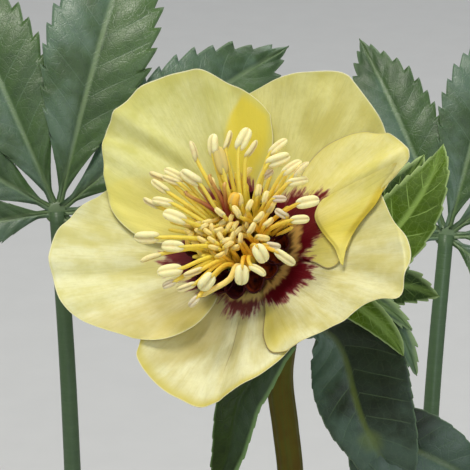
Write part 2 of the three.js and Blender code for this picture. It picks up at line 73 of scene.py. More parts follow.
class Path:
    # a smooth curve through points, read by a fraction of its length
    def __init__(self, points, perStretch=40):
        points = np.asarray(points, float)
        before, after = 2 * points[0] - points[1], 2 * points[-1] - points[-2]
        points = np.concatenate([[before], points, [after]])
        fine = []
        for a, b, c, d in zip(points, points[1:], points[2:], points[3:]):
            gaps = [max(np.linalg.norm(q - p), 1e-6) ** 0.5 for p, q in ((a, b), (b, c), (c, d))]
            k0, k1, k2, k3 = np.concatenate([[0], np.cumsum(gaps)])
            t = np.linspace(k1, k2, perStretch, endpoint=False)[:, None]
            ab, bc, cd = between(a, b, k0, k1, t), between(b, c, k1, k2, t), between(c, d, k2, k3, t)
            fine.append(between(between(ab, bc, k0, k2, t), between(bc, cd, k1, k3, t), k1, k2, t))
        self.fine = np.concatenate([*fine, points[-2:-1]])
        steps = np.linalg.norm(np.diff(self.fine, axis=0), axis=1)
        self.distance = np.concatenate([[0], np.cumsum(steps)])
        self.length = self.distance[-1]

    def at(self, t):
        d = np.asarray(t) * self.length
        return np.stack([np.interp(d, self.distance, axis) for axis in self.fine.T], -1)

    def tangent(self, t, reach=0.01):
        t = np.asarray(t)
        ahead = self.at(np.minimum(t + reach, 1)) - self.at(np.maximum(t - reach, 0))
        return ahead / np.linalg.norm(ahead, axis=-1, keepdims=True)


# a full turn in even steps, its end left out
def around(count):
    return np.linspace(0, fullTurn, count, endpoint=False)


bloomCentre = np.array(plant["bloomCentre"], float)
bloomFacing = unit(plant["bloomFacing"])
bloomAcross = unit(np.array([1, 0, 0]) - bloomFacing[0] * bloomFacing)
bloomUp = np.cross(bloomFacing, bloomAcross)
bloomFrame = np.array([bloomAcross, bloomUp, bloomFacing])
rise = plant["viewRise"] * degree
seenRight = np.array([1.0, 0, 0])
seenUp = np.array([0, math.sin(rise), math.cos(rise)])
seenForward = np.array([0, -math.cos(rise), math.sin(rise)])
cameraDistance = 600


# from the bloom's own frame to the plant's
def onBloom(points):
    return bloomCentre + np.asarray(points) @ bloomFrame


# a point given by how far it lies right of, above and in front of the bloom's centre
def nearBloom(offset):
    right, above, forward = offset
    return bloomCentre + right * seenRight + above * seenUp + forward * seenForward


# where the camera's ray through a spot beside the bloom's centre meets a height above the claws
def spotOnBloom(right, above, height):
    eye = bloomCentre + cameraDistance * seenForward
    ray = nearBloom((right, above, 0)) - eye
    reach = (height - (eye - bloomCentre) @ bloomFacing) / (ray @ bloomFacing)
    return bloomFrame @ (eye + reach * ray - bloomCentre)


# Meshes

class Piece:
    # the closed parts of one mesh, in millimetres, with named values on their points
    def __init__(self):
        self.points = []
        self.faces = []
        self.values = []
        self.maps = []
        self.total = 0

    def add(self, points, faces, plane=None, **values):
        points = np.asarray(points, float).reshape(-1, 3)
        faces = [np.asarray(group) for group in faces]
        corners = np.concatenate([np.concatenate([g[:, [0, k, k + 1]] for k in range(1, g.shape[1] - 1)])
                                  for g in faces])
        a, b, c = (points[corners[:, k]] for k in range(3))
        if np.einsum("ij,ij->i", a, np.cross(b, c)).sum() < 0:
            faces = [group[:, ::-1] for group in faces]
        self.points.append(points)
        self.faces += [group + self.total for group in faces]
        self.total += len(points)
        self.values.append({key: np.broadcast_to(np.asarray(v, float).ravel(), len(points))
                            for key, v in values.items()})
        self.maps.append(np.zeros((len(points), 2)) if plane is None else np.asarray(plane).reshape(-1, 2))

    # a closed tube of rings, whose points may still have to be moved to the plant's own frame
    def addRings(self, rings, moved=np.asarray, **values):
        points, faces = ringsPart(rings)
        self.add(moved(points), faces, **values)

    # a closed sheet with the same values on both of its sides
    def addSheet(self, top, bottom, surface, values, **others):
        points, faces = sheetPart(top, bottom)
        double = {key: np.tile(np.broadcast_to(value, top.shape[:2]).ravel(), 2)
                  for key, value in values.items()}
        self.add(points, faces, plane=np.tile(surface.reshape(-1, 2), (2, 1)), **double, **others)

    def build(self, node, material):
        name = node.replace("_", " ").title().replace(" ", "")
        mesh = bpy.data.meshes.new(name)
        points = np.concatenate(self.points) * mm
        loops = np.concatenate([group.ravel() for group in self.faces])
        sizes = np.concatenate([np.full(len(group), group.shape[1]) for group in self.faces])
        mesh.vertices.add(len(points))
        mesh.vertices.foreach_set("co", points.ravel())
        mesh.loops.add(len(loops))
        mesh.loops.foreach_set("vertex_index", loops)
        mesh.polygons.add(len(sizes))
        mesh.polygons.foreach_set("loop_start", np.concatenate([[0], np.cumsum(sizes)[:-1]]))
        mesh.polygons.foreach_set("loop_total", sizes)
        mesh.update(calc_edges=True)
        mesh.polygons.foreach_set("use_smooth", np.ones(len(sizes), bool))
        plane = mesh.uv_layers.new(name="surface")
        plane.data.foreach_set("uv", np.concatenate(self.maps)[loops].ravel())
        for key in sorted({key for part in self.values for key in part}):
            values = np.concatenate([part.get(key, np.zeros(len(points)))
                                     for part, points in zip(self.values, self.points)])
            mesh.attributes.new(key, "FLOAT", "POINT").data.foreach_set("value", values)
        mesh.validate()
        made = bpy.data.objects.new(name, mesh)
        bpy.context.scene.collection.objects.link(made)
        made.data.materials.append(material)
        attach(made, "root")
        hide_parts(node)
        return made


def gridFaces(index):
    return np.stack([index[:-1, :-1], index[:-1, 1:], index[1:, 1:], index[1:, :-1]], -1).reshape(-1, 4)


# a closed sheet between two grids of points
def sheetPart(top, bottom):
    rows, columns = top.shape[:2]
    index = np.arange(rows * columns).reshape(rows, columns)
    under = index + rows * columns
    rim = np.concatenate([index[0, :-1], index[:-1, -1], index[-1, :0:-1], index[:0:-1, 0]])
    following = np.roll(rim, -1)
    sides = np.stack([following, rim, rim + rows * columns, following + rows * columns], -1)
    points = np.concatenate([top.reshape(-1, 3), bottom.reshape(-1, 3)])
    return points, [gridFaces(index), gridFaces(under)[:, ::-1], sides]


# a closed tube of rings; each ring is a row of points
def ringsPart(rings):
    rows, sides = rings.shape[:2]
    index = np.arange(rows * sides).reshape(rows, sides)
    index = np.concatenate([index, index[:, :1]], 1)
    first, last = rings[0].mean(0), rings[-1].mean(0)
    points = np.concatenate([rings.reshape(-1, 3), [first, last]])
    at = rows * sides
    caps = [np.stack([index[0, 1:], index[0, :-1], np.full(sides, at)], -1),
            np.stack([index[-1, :-1], index[-1, 1:], np.full(sides, at + 1)], -1)]
    return points, [gridFaces(index)] + caps


# two directions square to each tangent, turning as little as they can
def carriedFrame(tangents, hint=(0.31, 0.17, 0.93)):
    normal = np.cross(tangents[0], unit(hint))
    normals = []
    for tangent in tangents:
        normal = unit(normal - (normal @ tangent) * tangent)
        normals.append(normal)
    normals = np.array(normals)
    return normals, np.cross(tangents, normals)


def tubeRings(path, stations, radii, sides, ridges=0, ridgeDepth=0):
    centres = path.at(stations)
    normals, binormals = carriedFrame(path.tangent(stations))
    turn = around(sides)
    radii = np.asarray(radii)[:, None] * (1 + ridgeDepth * np.cos(ridges * turn)[None])
    return (centres[:, None] + radii[..., None] * (np.cos(turn)[None, :, None] * normals[:, None]
            + np.sin(turn)[None, :, None] * binormals[:, None]))


# how far along its tube each point of a closed tube lies
def alongTube(steps, sides):
    return np.append(np.repeat(steps, sides), [0, 1])


def turnedRings(profile, sides):
    profile = np.asarray(profile, float)
    turn = around(sides)
    flat = np.stack([np.cos(turn), np.sin(turn), np.zeros(sides)], -1)
    return profile[:, :1, None] * flat[None] + profile[:, 1][:, None, None] * np.array([0, 0, 1])


# gentle repeatable unevenness from a few waves in random directions
def unevenness(points, waveLength, seed, waves=7):
    draw = np.random.default_rng(seed)
    flat = points.reshape(-1, points.shape[-1])
    total = np.zeros(len(flat))
    for _ in range(waves):
        direction = unit(draw.normal(size=flat.shape[1]))
        size = waveLength * draw.uniform(0.6, 1.6)
        total += np.sin(flat @ direction * fullTurn / size + draw.uniform(0, fullTurn))
    return (total / waves ** 0.5).reshape(points.shape[:-1])


# Shader nodes

def colour(red, green, blue):
    channels = np.array([red, green, blue]) / 255
    linear = np.where(channels <= 0.04045, channels / 12.92, ((channels + 0.055) / 1.055) ** 2.4)
    return (*linear.tolist(), 1.0)


class Nodes:
    # adds nodes to one tree and joins them; its colours are red, green and blue out of 255
    def __init__(self, tree):
        self.tree = tree

    def put(self, value, socket):
        if isinstance(value, bpy.types.NodeSocket):
            self.tree.links.new(value, socket)
        else:
            socket.default_value = colour(*value) if socket.type == "RGBA" else value

    def add(self, kind, inputs=(), **settings):
        node = self.tree.nodes.new("ShaderNode" + kind)
        for key, value in settings.items():
            setattr(node, key, value)
        for key, value in dict(inputs).items():
            self.put(value, node.inputs[key])
        return node

    def math(self, operation, a, b=0.0):
        return self.add("Math", {0: a, 1: b}, operation=operation).outputs[0]

    def times(self, a, b):
        return self.math("MULTIPLY", a, b)

    def plus(self, total, *others):
        for other in others:
            total = self.math("ADD", total, other)
        return total

    def gap(self, a, b):
        return self.math("ABSOLUTE", self.math("SUBTRACT", a, b))

    def span(self, value, low, high, first=0.0, last=1.0):
        inputs = {0: value, 1: low, 2: high, 3: first, 4: last}
        return self.add("MapRange", inputs, interpolation_type="SMOOTHSTEP").outputs[0]

    # a first colour and others laid over it, each by its own share
    def layers(self, tint, *covers):
        for share, cover in covers:
            tint = self.add("Mix", {0: share, 6: tint, 7: cover}, data_type="RGBA").outputs[2]
        return tint

    def value(self, name):
        return self.add("Attribute", attribute_name=name).outputs["Fac"]

    def plane(self):
        return self.add("UVMap", uv_map="surface").outputs[0]

    def place(self):
        return self.add("TexCoord").outputs["Object"]

    def stretch(self, vector, scale):
        return self.add("Mapping", {"Vector": vector, "Scale": scale}).outputs[0]

    def noise(self, vector, scale, detail=2.0, roughness=0.5):
        inputs = {"Vector": vector, "Scale": scale, "Detail": detail, "Roughness": roughness}
        return self.add("TexNoise", inputs).outputs["Fac"]

    def bump(self, height, strength, distance):
        inputs = {"Height": height, "Strength": strength, "Distance": distance}
        return self.add("Bump", inputs).outputs[0]

    def group(self, tree, inputs):
        return self.add("Group", inputs, node_tree=tree).outputs


# a group of nodes with one vector and some plain numbers coming in
def newGroup(name, vector, numbers, results):
    tree = bpy.data.node_groups.new(name, "ShaderNodeTree")
    tree.interface.new_socket(vector, in_out="INPUT", socket_type="NodeSocketVector")
    for label in numbers:
        tree.interface.new_socket(label, in_out="INPUT", socket_type="NodeSocketFloat")
    for label in results:
        tree.interface.new_socket(label, in_out="OUTPUT", socket_type="NodeSocketFloat")
    given = tree.nodes.new("NodeGroupInput").outputs
    result = tree.nodes.new("NodeGroupOutput").inputs
    return tree, Nodes(tree), given, result


# lines that run along the second direction of the surface map, such as veins and folds
def makeStreaksGroup():
    tree, nodes, given, result = newGroup("streaks", "Surface", ("Across", "Along", "Shift"), ("Value",))
    scale = nodes.add("CombineXYZ", {0: given["Across"], 1: given["Along"], 2: 1.0}).outputs[0]
    offset = nodes.add("CombineXYZ", {0: given["Shift"], 1: given["Shift"]}).outputs[0]
    scaled = nodes.add("VectorMath", {0: given["Surface"], 1: scale}, operation="MULTIPLY").outputs[0]
    moved = nodes.add("VectorMath", {0: scaled, 1: offset}, operation="ADD").outputs[0]
    nodes.put(nodes.noise(moved, 1.0, 3.0), result["Value"])
    return tree


# the fine net of veins in a leaf, and a light colour change from cell to cell
def makeNetGroup():
    tree, nodes, given, result = newGroup("veinNet", "Surface", ("Scale", "Width"), ("Lines", "Cells"))
    warp = nodes.add("TexNoise", {"Vector": given["Surface"], "Scale": 0.35, "Detail": 1.0}).outputs["Color"]
    bent = nodes.add("VectorMath", {0: warp, 1: given["Surface"]}, operation="ADD").outputs[0]
    inputs = {"Vector": bent, "Scale": given["Scale"]}
    edges = nodes.add("TexVoronoi", inputs, feature="DISTANCE_TO_EDGE", voronoi_dimensions="2D")
    cells = nodes.add("TexVoronoi", inputs, voronoi_dimensions="2D")
    lines = nodes.span(edges.outputs["Distance"], 0.0, given["Width"], 1.0, 0.0)
    nodes.put(lines, result["Lines"])
    nodes.put(nodes.add("SeparateColor", {0: cells.outputs["Color"]}).outputs[0], result["Cells"])
    return tree


# scattered round specks
def makeSpecksGroup():
    tree, nodes, given, result = newGroup("specks", "Place", ("Scale", "Share", "Size"), ("Mask",))
    spots = nodes.add("TexVoronoi", {"Vector": given["Place"], "Scale": given["Scale"]}).outputs
    number = nodes.add("SeparateColor", {0: spots["Color"]}).outputs[0]
    chosen = nodes.math("LESS_THAN", number, given["Share"])
    near = nodes.span(spots["Distance"], nodes.times(given["Size"], 0.5), given["Size"], 1.0, 0.0)
    nodes.put(nodes.times(near, chosen), result["Mask"])
    return tree


streaksGroup = makeStreaksGroup()
netGroup = makeNetGroup()
specksGroup = makeSpecksGroup()


def streaks(nodes, surface, across, along, shift):
    inputs = {"Surface": surface, "Across": across, "Along": along, "Shift": shift}
    return nodes.group(streaksGroup, inputs)[0]


def specks(nodes, place, scale, share, size):
    return nodes.group(specksGroup, {"Place": place, "Scale": scale, "Share": share, "Size": size})[0]


def newMaterial(name):
    material = bpy.data.materials.new(name)
    material.use_nodes = True
    return material, Nodes(material.node_tree)


# gives the shader its values; glow is how much light soaks in, and how far its red, green and blue go
def dress(nodes, tint, roughness, normal, gloss=0.5, glow=None):
    values = {"Base Color": tint, "Roughness": roughness, "Normal": normal, "Specular IOR Level": gloss}
    if glow:
        values.update({"Subsurface Weight": glow[0], "Subsurface Radius": glow[1:], "Subsurface Scale": mm})
    for key, value in values.items():
        nodes.put(value, nodes.tree.nodes["Principled BSDF"].inputs[key])


print("stage: shared shapes and shader groups ready")


# Camera and light

view = {
    "focus": (-4.2, 5.4),  # right of and above the bloom's centre
    "width": 94,
    "sensor": 36,
}


def makeCamera():
    camera = bpy.data.cameras.new("camera")
    camera.sensor_width = view["sensor"]
    camera.lens = view["sensor"] * cameraDistance / view["width"]
    camera.clip_end = 20
    holder = bpy.data.objects.new("camera", camera)
    focus = nearBloom((*view["focus"], 0))
    holder.location = Vector((focus + cameraDistance * seenForward) * mm)
    holder.rotation_euler = Vector(seenForward).to_track_quat("Z", "Y").to_euler()
    bpy.context.scene.collection.objects.link(holder)
    bpy.context.scene.camera = holder


lights = {
    "key": {"from": (-0.35, -0.2, 1.4), "size": 0.6, "power": 15.5, "tint": (255, 251, 243)},
    "fill": {"from": (0.5, -1.1, 0.6), "size": 1.0, "power": 5.5, "tint": (240, 246, 255)},
    "back": {"from": (0.4, 1.0, 0.9), "size": 0.8, "power": 4.0, "tint": (250, 250, 255)},
}
surroundings = {"tint": (225, 230, 238), "strength": 0.42}


def makeLights():
    target = Vector(bloomCentre * mm)
    for name, values in lights.items():
        light = bpy.data.lights.new(name, "AREA")
        light.shape = "DISK"
        light.size = values["size"]
        light.energy = values["power"]
        light.color = colour(*values["tint"])[:3]
        holder = bpy.data.objects.new(name, light)
        holder.location = target + Vector(values["from"])
        holder.rotation_euler = Vector(values["from"]).to_track_quat("Z", "Y").to_euler()
        bpy.context.scene.collection.objects.link(holder)
    world = bpy.data.worlds.new("surroundings")
    world.use_nodes = True
    background = world.node_tree.nodes["Background"]
    background.inputs["Color"].default_value = colour(*surroundings["tint"])
    background.inputs["Strength"].default_value = surroundings["strength"]
    bpy.context.scene.world = world
    bpy.context.scene.view_settings.view_transform = "Standard"
    bpy.context.scene.view_settings.look = "None"


floor = {"halfSide": 2500, "tint": (214, 214, 210)}


def makeFloor():
    mesh = bpy.data.meshes.new("floor")
    side = floor["halfSide"] * mm
    mesh.from_pydata([(-side, -side, 0), (side, -side, 0), (side, side, 0), (-side, side, 0)], [],
                     [(0, 1, 2, 3)])
    made = bpy.data.objects.new("floor", mesh)
    bpy.context.scene.collection.objects.link(made)
    material, nodes = newMaterial("paleFloor")
    fine = nodes.noise(nodes.place(), 60.0, 3.0)
    tint = nodes.layers(floor["tint"], (fine, tuple(c - 6 for c in floor["tint"])))
    dress(nodes, tint, 0.85, nodes.bump(fine, 0.05, mm))
    mesh.materials.append(material)


makeCamera()
makeLights()
makeFloor()
print("stage: camera, light and floor ready")


# Sepals. Outlines are bearings in degrees round the bloom and distances from its axis.

claw = 5.5
cup = {
    "slope": 0.3,
    "curve": 0.0025,
    "radius": 36,
    "step": 1.2,  # from one layer of sepals to the next
    "thickness": 0.5,
    "marginThickness": 0.16,
    "grid": 110,
    "creased": 1.25,  # how strong the folds listed below are
    "ruffled": 0.11,
    "rippled": 0.38,  # along the rim
    "droop": 2.9,  # of the lowest sepal
}
mapScale = 20  # millimetres to a radian on a surface map
sepals = {
    "sepal_bottom": {
        "layer": 0,
        "left": [(-66, claw), (-62, 9), (-60, 13), (-58, 18), (-60, 23), (-66, 25.8)],
        "right": [(-138, claw), (-141, 10), (-143, 16), (-142.5, 22), (-138.6, 27.4)],
        "rim": [(-80, 28.6), (-91, 32.1), (-102, 35.6), (-111, 34.8), (-116.5, 34.2), (-122.5, 33.2),
                (-129.5, 31.9), (-134, 30.7), (-136.4, 28.9)],
        # painted shadow that the left sepal casts on this one, darker yellow, fading out towards its right
        # side
        "over": {}, "shadow": ("sepal_left", (2.6, -4.6)), "thread": -99.3,
        "tinge": (-139, -124, (188, 172, 92), 0.6), "throat": (240, 210, 124), "blotch": 0.82,
        "pale": (229, 225, 178), "deep": (208, 199, 136), "band": (202, 184, 66), "bandWidth": 3.0,
    },
    "sepal_left": {
        "layer": 1,
        "left": [(224, claw), (229, 9), (236, 13.5), (236.2, 18.9), (229.7, 24.9), (221, 28.9)],
        "right": [(156, claw), (147, 9), (138, 14), (134, 20), (144, 27.0), (155.5, 30.9)],
        "rim": [(210, 33), (200, 36.6), (189, 38), (177, 37.8), (166, 34.7)],
        "over": {"sepal_bottom": 0.4}, "settle": (0.6, 0), "softness": 4,
        # painted shade, darker yellow towards its left side
        "tinge": (197, 212, (190, 166, 92), 0.36), "pale": (230, 226, 174), "deep": (210, 202, 124),
        "band": (222, 214, 128), "bandWidth": 0.8,
    },
    "sepal_lower_right": {
        "layer": 1,
        "left": [(-2, claw), (-1, 9), (3, 14), (10, 21), (11, 26.5), (9, 29.6)],
        "right": [(-72, claw), (-74, 9), (-77, 14), (-80, 20), (-77, 24.7), (-70, 26.6)],
        "rim": [(-2, 31.4), (-8, 34.1), (-13, 35.6), (-18, 36.3), (-22.5, 36.4), (-27, 37.0), (-30, 36.9),
                (-31.8, 34.2), (-36.4, 30.8), (-45.4, 29.2), (-58, 27.0)],
        "over": {"sepal_bottom": 0.6}, "settle": (0, 0.75), "softness": 4.5, "line": 0.8,
        # painted shade, darker yellow towards its left side
        "tinge": (-16, 2, (190, 182, 84), 0.4), "pale": (227, 222, 172), "deep": (206, 196, 122),
        "band": (222, 210, 116), "bandWidth": 0.9,
    },
    "sepal_top": {
        "layer": 1,
        "left": [(92, claw), (94, 10), (98, 16), (98.5, 22.5), (94, 27.3), (88, 30.5)],
        "right": [(38, claw), (34, 9), (27, 14), (22, 21), (22, 28), (26, 34.4)],
        "rim": [(78, 32.9), (70, 34.5), (62, 37.5), (57, 38.8), (53, 38.8), (49, 38.0), (44, 37.1),
                (39, 36.5), (33.4, 35.9)],
        "over": {}, "pale": (219, 212, 136), "deep": (200, 191, 106), "band": (214, 206, 120),
        "bandWidth": 0.8,
    },
    "sepal_upper_left": {
        "layer": 2,
        "left": [(162, claw), (165, 9.5), (170, 14.5), (171, 20.5), (162, 27.3), (150, 31.4)],
        "right": [(92, claw), (88, 10), (80, 15.5), (73, 21.5), (76, 27)],
        "rim": [(143.5, 33.8), (140.6, 35.1), (137.3, 36.6), (132.5, 37.2), (127, 38.4), (121, 39.2),
                (116, 39.0), (109.5, 37.9), (101, 36.4), (88, 31.6), (80, 28.8)],
        "over": {"sepal_top": 1.0, "sepal_left": 0.34}, "settle": (0.1, 0.72),
        # painted light, a paler yellow towards its left side; its wide band along the margin is painted
        # shade of a fold near the rim
        "tinge": (144, 158, (252, 238, 124), 0.55), "pale": (221, 217, 146), "deep": (203, 199, 112),
        "band": (210, 202, 108), "bandWidth": 2.6,
    },
    "sepal_right": {
        "layer": 2,
        "left": [(42, claw), (45, 10), (49, 15.5), (50.5, 20), (47.0, 24.6), (40.6, 28.9), (34.8, 32.5)],
        "right": [(-14, claw), (-14, 10), (-19, 14.5), (-22, 18.4), (-12, 21.4), (-2, 22.6), (5, 25.8),
                  (10.5, 31)],
        "rim": [(28, 35.4), (25.2, 36.1), (21.6, 36.9), (18.3, 37.4), (15.2, 37.7), (13.4, 37.2),
                (12.6, 35.6), (12.6, 33.4)],
        "over": {"sepal_top": 0.12, "sepal_lower_right": 0.25}, "settle": (0.72, 0.72), "softness": 2,
        "line": 0.6, "pale": (240, 230, 156), "deep": (226, 214, 112), "band": (226, 212, 108),
        "bandWidth": 1.2,
    },
}
# long soft folds: bearing at their foot and at the rim, half width, height and where they start
creases = [
    (119, 130, 1.5, 0.9, 13), (121, 137.5, 1.7, -0.75, 14), (134, 144, 1.8, 0.5, 17),
    (109, 111, 3.0, -0.45, 18), (99.5, 100.5, 2.2, 0.4, 16), (94, 92, 2.0, -0.4, 18),
    (152, 150, 2.6, 0.4, 18), (66, 68, 2.4, 0.45, 18), (57, 56, 2.6, -0.4, 16), (45, 43, 2.8, 0.5, 18),
    (30, 31, 2.4, -0.5, 17), (25.5, 17, 2.2, 1.3, 15), (38, 36, 2.0, 0.4, 20), (-31, -37, 3.4, 0.6, 13),
    (-20, -27, 2.0, -0.85, 12), (-13, -9, 3.0, 0.45, 18), (-55, -46, 2.2, -0.35, 15),
    (-68, -62, 2.2, 0.35, 15), (-99.5, -97, 0.9, -0.35, 12), (-91, -88, 2.2, 0.35, 15),
    (-112, -111, 2.4, 0.45, 17), (-124, -122, 2.2, -0.4, 18), (182, 182, 2.2, 0.65, 14),
    (188.5, 188, 1.6, -0.4, 17), (195, 196, 2.4, 0.4, 17), (202, 204, 2.2, -0.35, 18),
    (213, 212, 2.4, 0.35, 18), (167, 167, 2.4, -0.4, 18),
]
# where the lower right sepal's margin turns back, by bearing, and how steeply
turnedBack = {
    "crease": [(-30, 41), (-25, 37.4), (-21.5, 36), (-12.4, 33.5), (-3.6, 31.6), (2, 31), (8, 33)],
    "drop": 0.85,
}
# the part of the right-hand sepal that folds over towards the eye, from a crease to a hanging tip
pleat = {
    "edge": [(25.4, 19.3), (24.0, 16.9), (17.2, 15.1), (6.2, 15.4), (-5.0, 17.3), (-11.9, 19.2),
             (-19.8, 21.0)],
    "margin": [(16.2, 36.6), (14.0, 33.8), (11.3, 31.0), (6.3, 28.4), (2.3, 25.3), (-3.5, 22.6),
               (-11.3, 21.5), (-20.2, 21.5)],
    "lift": 1.15,
    "thickening": 0.2,
    "rolledShade": 0.85,
    "curledTipShade": 0.8,
}
# how far out the dark blotch reaches at each bearing round the bloom
blotchReach = [
    (-180, 17.2), (-170, 16.6), (-160, 14.5), (-152, 14.6), (-143, 12.0), (-134, 10.0), (-124, 10.0),
    (-116, 12.2), (-107, 13.2), (-94, 13.6), (-84, 12.6), (-76, 11.6), (-69, 12.2), (-60, 14.0), (-48, 14.8),
    (-42, 14.2), (-34, 14.8), (-25, 14.6), (-14, 12.4), (-8, 12.4), (-3, 14.6), (5, 15.6), (16, 17.0),
    (22, 18.2), (27, 18.8), (32, 17.4), (38, 16.2), (44, 15.6), (52, 15.0), (60, 13.4), (75, 13.2),
    (85, 13.8), (96, 15.4), (105, 15.6), (122, 14.6), (132, 13.4), (142, 13.0), (152, 12.0), (160, 12.4),
    (166, 13.4), (172, 15.0), (180, 17.2),
]
# where the light throat reaches further out or less far: bearing, half width and by how much
flushes = [(12, 24, 1.3), (-40, 26, -1.0)]


def polar(pairs):
    turn, reach = np.asarray(pairs, float).T
    return np.stack([reach * np.cos(turn * degree), reach * np.sin(turn * degree)], -1)


# the height of the bloom's surface above its claws
def sepalHeight(x, y, layer):
    r = np.hypot(x, y)
    bearing = np.arctan2(y, x)
    lift = layer * cup["step"] * (0.35 + 0.65 * smoothstep(6, 12.5, r))
    outward = r / cup["radius"]
    wave = 0.9 * outward ** 2 * np.sin(5 * bearing + 0.6) + 0.5 * outward ** 3 * np.sin(11 * bearing)
    z = cup["slope"] * r + cup["curve"] * r * r + lift + wave
    for foot, rim, width, height, start in creases:
        aim = foot + (rim - foot) * np.clip((r - 18) / 18, -0.2, 1.1)
        away = (bearing - aim * degree + math.pi) % fullTurn - math.pi
        z += cup["creased"] * height * np.exp(-(away * r / width) ** 2) * smoothstep(start, start + 12, r)
    circle = np.stack([np.cos(bearing) * 26, np.sin(bearing) * 26, r * 0.16], -1)
    z += cup["ruffled"] * unevenness(circle, 4.2, 3) * smoothstep(9, 30, r)
    drooping = smoothstep(-88, -114, bearing / degree) * smoothstep(-144, -120, bearing / degree)
    return z - (cup["droop"] if layer == 0 else 0) * drooping * smoothstep(9, 21, r)


# a sepal's left and right sides from its claw outwards, and its rim from left to right
def sidesOf(spec):
    rim = [spec["left"][-1], *spec["rim"], spec["right"][-1]]
    return [Path(polar(line)) for line in (spec["left"], spec["right"], rim)]


# how deep points lie inside a sepal's outline, less than 0 outside it
def depthInside(x, y, spec):
    left, right, far = sidesOf(spec)
    steps = np.linspace(0, 1, 60)
    corners = np.concatenate([left.at(steps), far.at(steps), right.at(steps[::-1])])
    points = np.stack([x.ravel(), y.ravel()], -1)
    following = np.roll(corners, -1, 0)
    edge = following - corners
    away = points[:, None] - corners[None]
    along = np.clip((away * edge).sum(-1) / ((edge ** 2).sum(-1) + 1e-9), 0, 1)
    distance = np.linalg.norm(away - along[..., None] * edge, axis=-1).min(1)
    rising = (corners[None, :, 1] > points[:, None, 1]) != (following[None, :, 1] > points[:, None, 1])
    height = points[:, None, 1] - corners[None, :, 1]
    crossing = corners[None, :, 0] + height * edge[None, :, 0] / np.where(edge[:, 1] == 0, 1e-9, edge[:, 1])
    inside = (rising & (points[:, None, 0] < crossing)).sum(1) % 2 == 1
    return np.where(inside, distance, -distance).reshape(x.shape)


# even steps from 0 to 1 that crowd a little towards both ends
def crowded(count, amount=0.6, start=0):
    x = np.linspace(start, 1 - start, count)
    return x - amount * np.sin(fullTurn * x) / fullTurn


# the flat grid between a sepal's two sides, its claw and its rim
def sepalPlan(spec, t, s):
    left, right, far = sidesOf(spec)
    atLeft, atRight = left.at(t)[:, None], right.at(t)[:, None]
    atRim = far.at(s)[None]
    ends = far.at(np.array([0.0, 1.0]))
    t, s = t[:, None, None], s[None, :, None]
    plan = atLeft * (1 - s) + atRight * s + t * (atRim - ends[0] * (1 - s) - ends[1] * s)
    clawEnds = polar([spec["left"][0], spec["right"][0]])
    chord = clawEnds[0] * (1 - s) + clawEnds[1] * s
    rounded = chord * claw / np.linalg.norm(chord, axis=-1, keepdims=True)
    return plan + (1 - t) * (rounded - chord)


# how far each point of a grid is from the left side, the right side and the rim
def gridSpans(plan):
    across = np.linalg.norm(np.diff(plan, axis=1), axis=-1)
    along = np.linalg.norm(np.diff(plan, axis=0), axis=-1)
    fromLeft = np.concatenate([np.zeros((len(plan), 1)), np.cumsum(across, 1)], 1)
    fromClaw = np.concatenate([np.zeros((1, plan.shape[1])), np.cumsum(along, 0)], 0)
    return fromLeft, fromLeft[:, -1:] - fromLeft, fromClaw[-1:] - fromClaw


def bloomValues(x, y):
    r = np.hypot(x, y)
    bearing = np.arctan2(y, x) / degree
    reach = np.interp(bearing, *zip(*blotchReach))
    flush = sum(amount * np.exp(-((bearing - middle) / width) ** 2) for middle, width, amount in flushes)
    return {"radius": r, "blotch": reach - r, "flush": flush}


def addSepalSheet(piece, x, y, z, thickness, surface, values):
    top, bottom = np.stack([x, y, z], -1), np.stack([x, y, z - thickness], -1)
    piece.addSheet(onBloom(top), onBloom(bottom), surface, values)


def makeSepal(name, spec, seed):
    steps = crowded(cup["grid"])
    plan = sepalPlan(spec, steps, steps)
    x, y = plan[..., 0], plan[..., 1]
    r = np.hypot(x, y)
    toLeft, toRight, toRim = gridSpans(plan)
    edge = np.minimum(np.minimum(toLeft, toRight), toRim)
    middle = np.mean([spec["left"][2][0], spec["right"][2][0]]) * degree
    bearing = middle + (np.arctan2(y, x) - middle + math.pi) % fullTurn - math.pi
    doubled, resting = np.zeros(r.shape), np.zeros(r.shape)
    # where this sepal lies over another, painted light: the deeper yellow of light shining through two
    # layers
    for other, strength in spec["over"].items():
        depth = depthInside(x, y, sepals[other])
        doubled = np.maximum(doubled, strength * smoothstep(-0.5, spec.get("softness", 0.6), depth))
        resting = np.maximum(resting, smoothstep(-3.0, 1.5, depth))
    ripple = unevenness(np.stack([bearing * 34, r * 0.5], -1), 8.0, seed + 20)
    z = sepalHeight(x, y, spec["layer"])
    z += cup["rippled"] * ripple * smoothstep(12, 34, r) * smoothstep(7, 0, edge) * (1 - resting)
    atLeft, atRight = spec.get("settle", (0, 0))
    settled = atLeft * smoothstep(6, 0.2, toLeft) + atRight * smoothstep(6, 0.2, toRight)
    z -= settled * resting * smoothstep(8, 14, r)
    thin = cup["marginThickness"]
    thickness = thin + (cup["thickness"] - thin) * smoothstep(0, 2.5, edge)
    if name == "sepal_lower_right":
        fold = np.interp(bearing / degree, *zip(*turnedBack["crease"]))
        beyond = smoothstep(0, 1.5, r - fold)
        z -= turnedBack["drop"] * np.maximum(r - fold, 0) * beyond
        # the part turned back gets the same painted light of two layers
        doubled = np.maximum(doubled, 0.42 * beyond)
    # painted shading over a span of bearings: shade on most sepals, light on the upper left one; on the
    # lowest sepal only inside the painted shadow of the left sepal, its outline shifted right and down
    tinge = smoothstep(*spec["tinge"][:2], bearing / degree) if "tinge" in spec else 0
    if "shadow" in spec:
        other, (right, above) = spec["shadow"]
        tinge = tinge * smoothstep(-1.4, 1.4, depthInside(x - right, y - above, sepals[other]))
    piece = Piece()
    addSepalSheet(piece, x, y, z, thickness, np.stack([bearing * mapScale, r], -1),
                  {"edge": edge, "doubled": doubled, "resting": resting, "pleat": 0, "tinge": tinge,
                   **bloomValues(x, y)})
    if name == "sepal_right":
        addPleat(piece, spec["layer"])
    piece.build(name, sepalMaterial(name, spec))


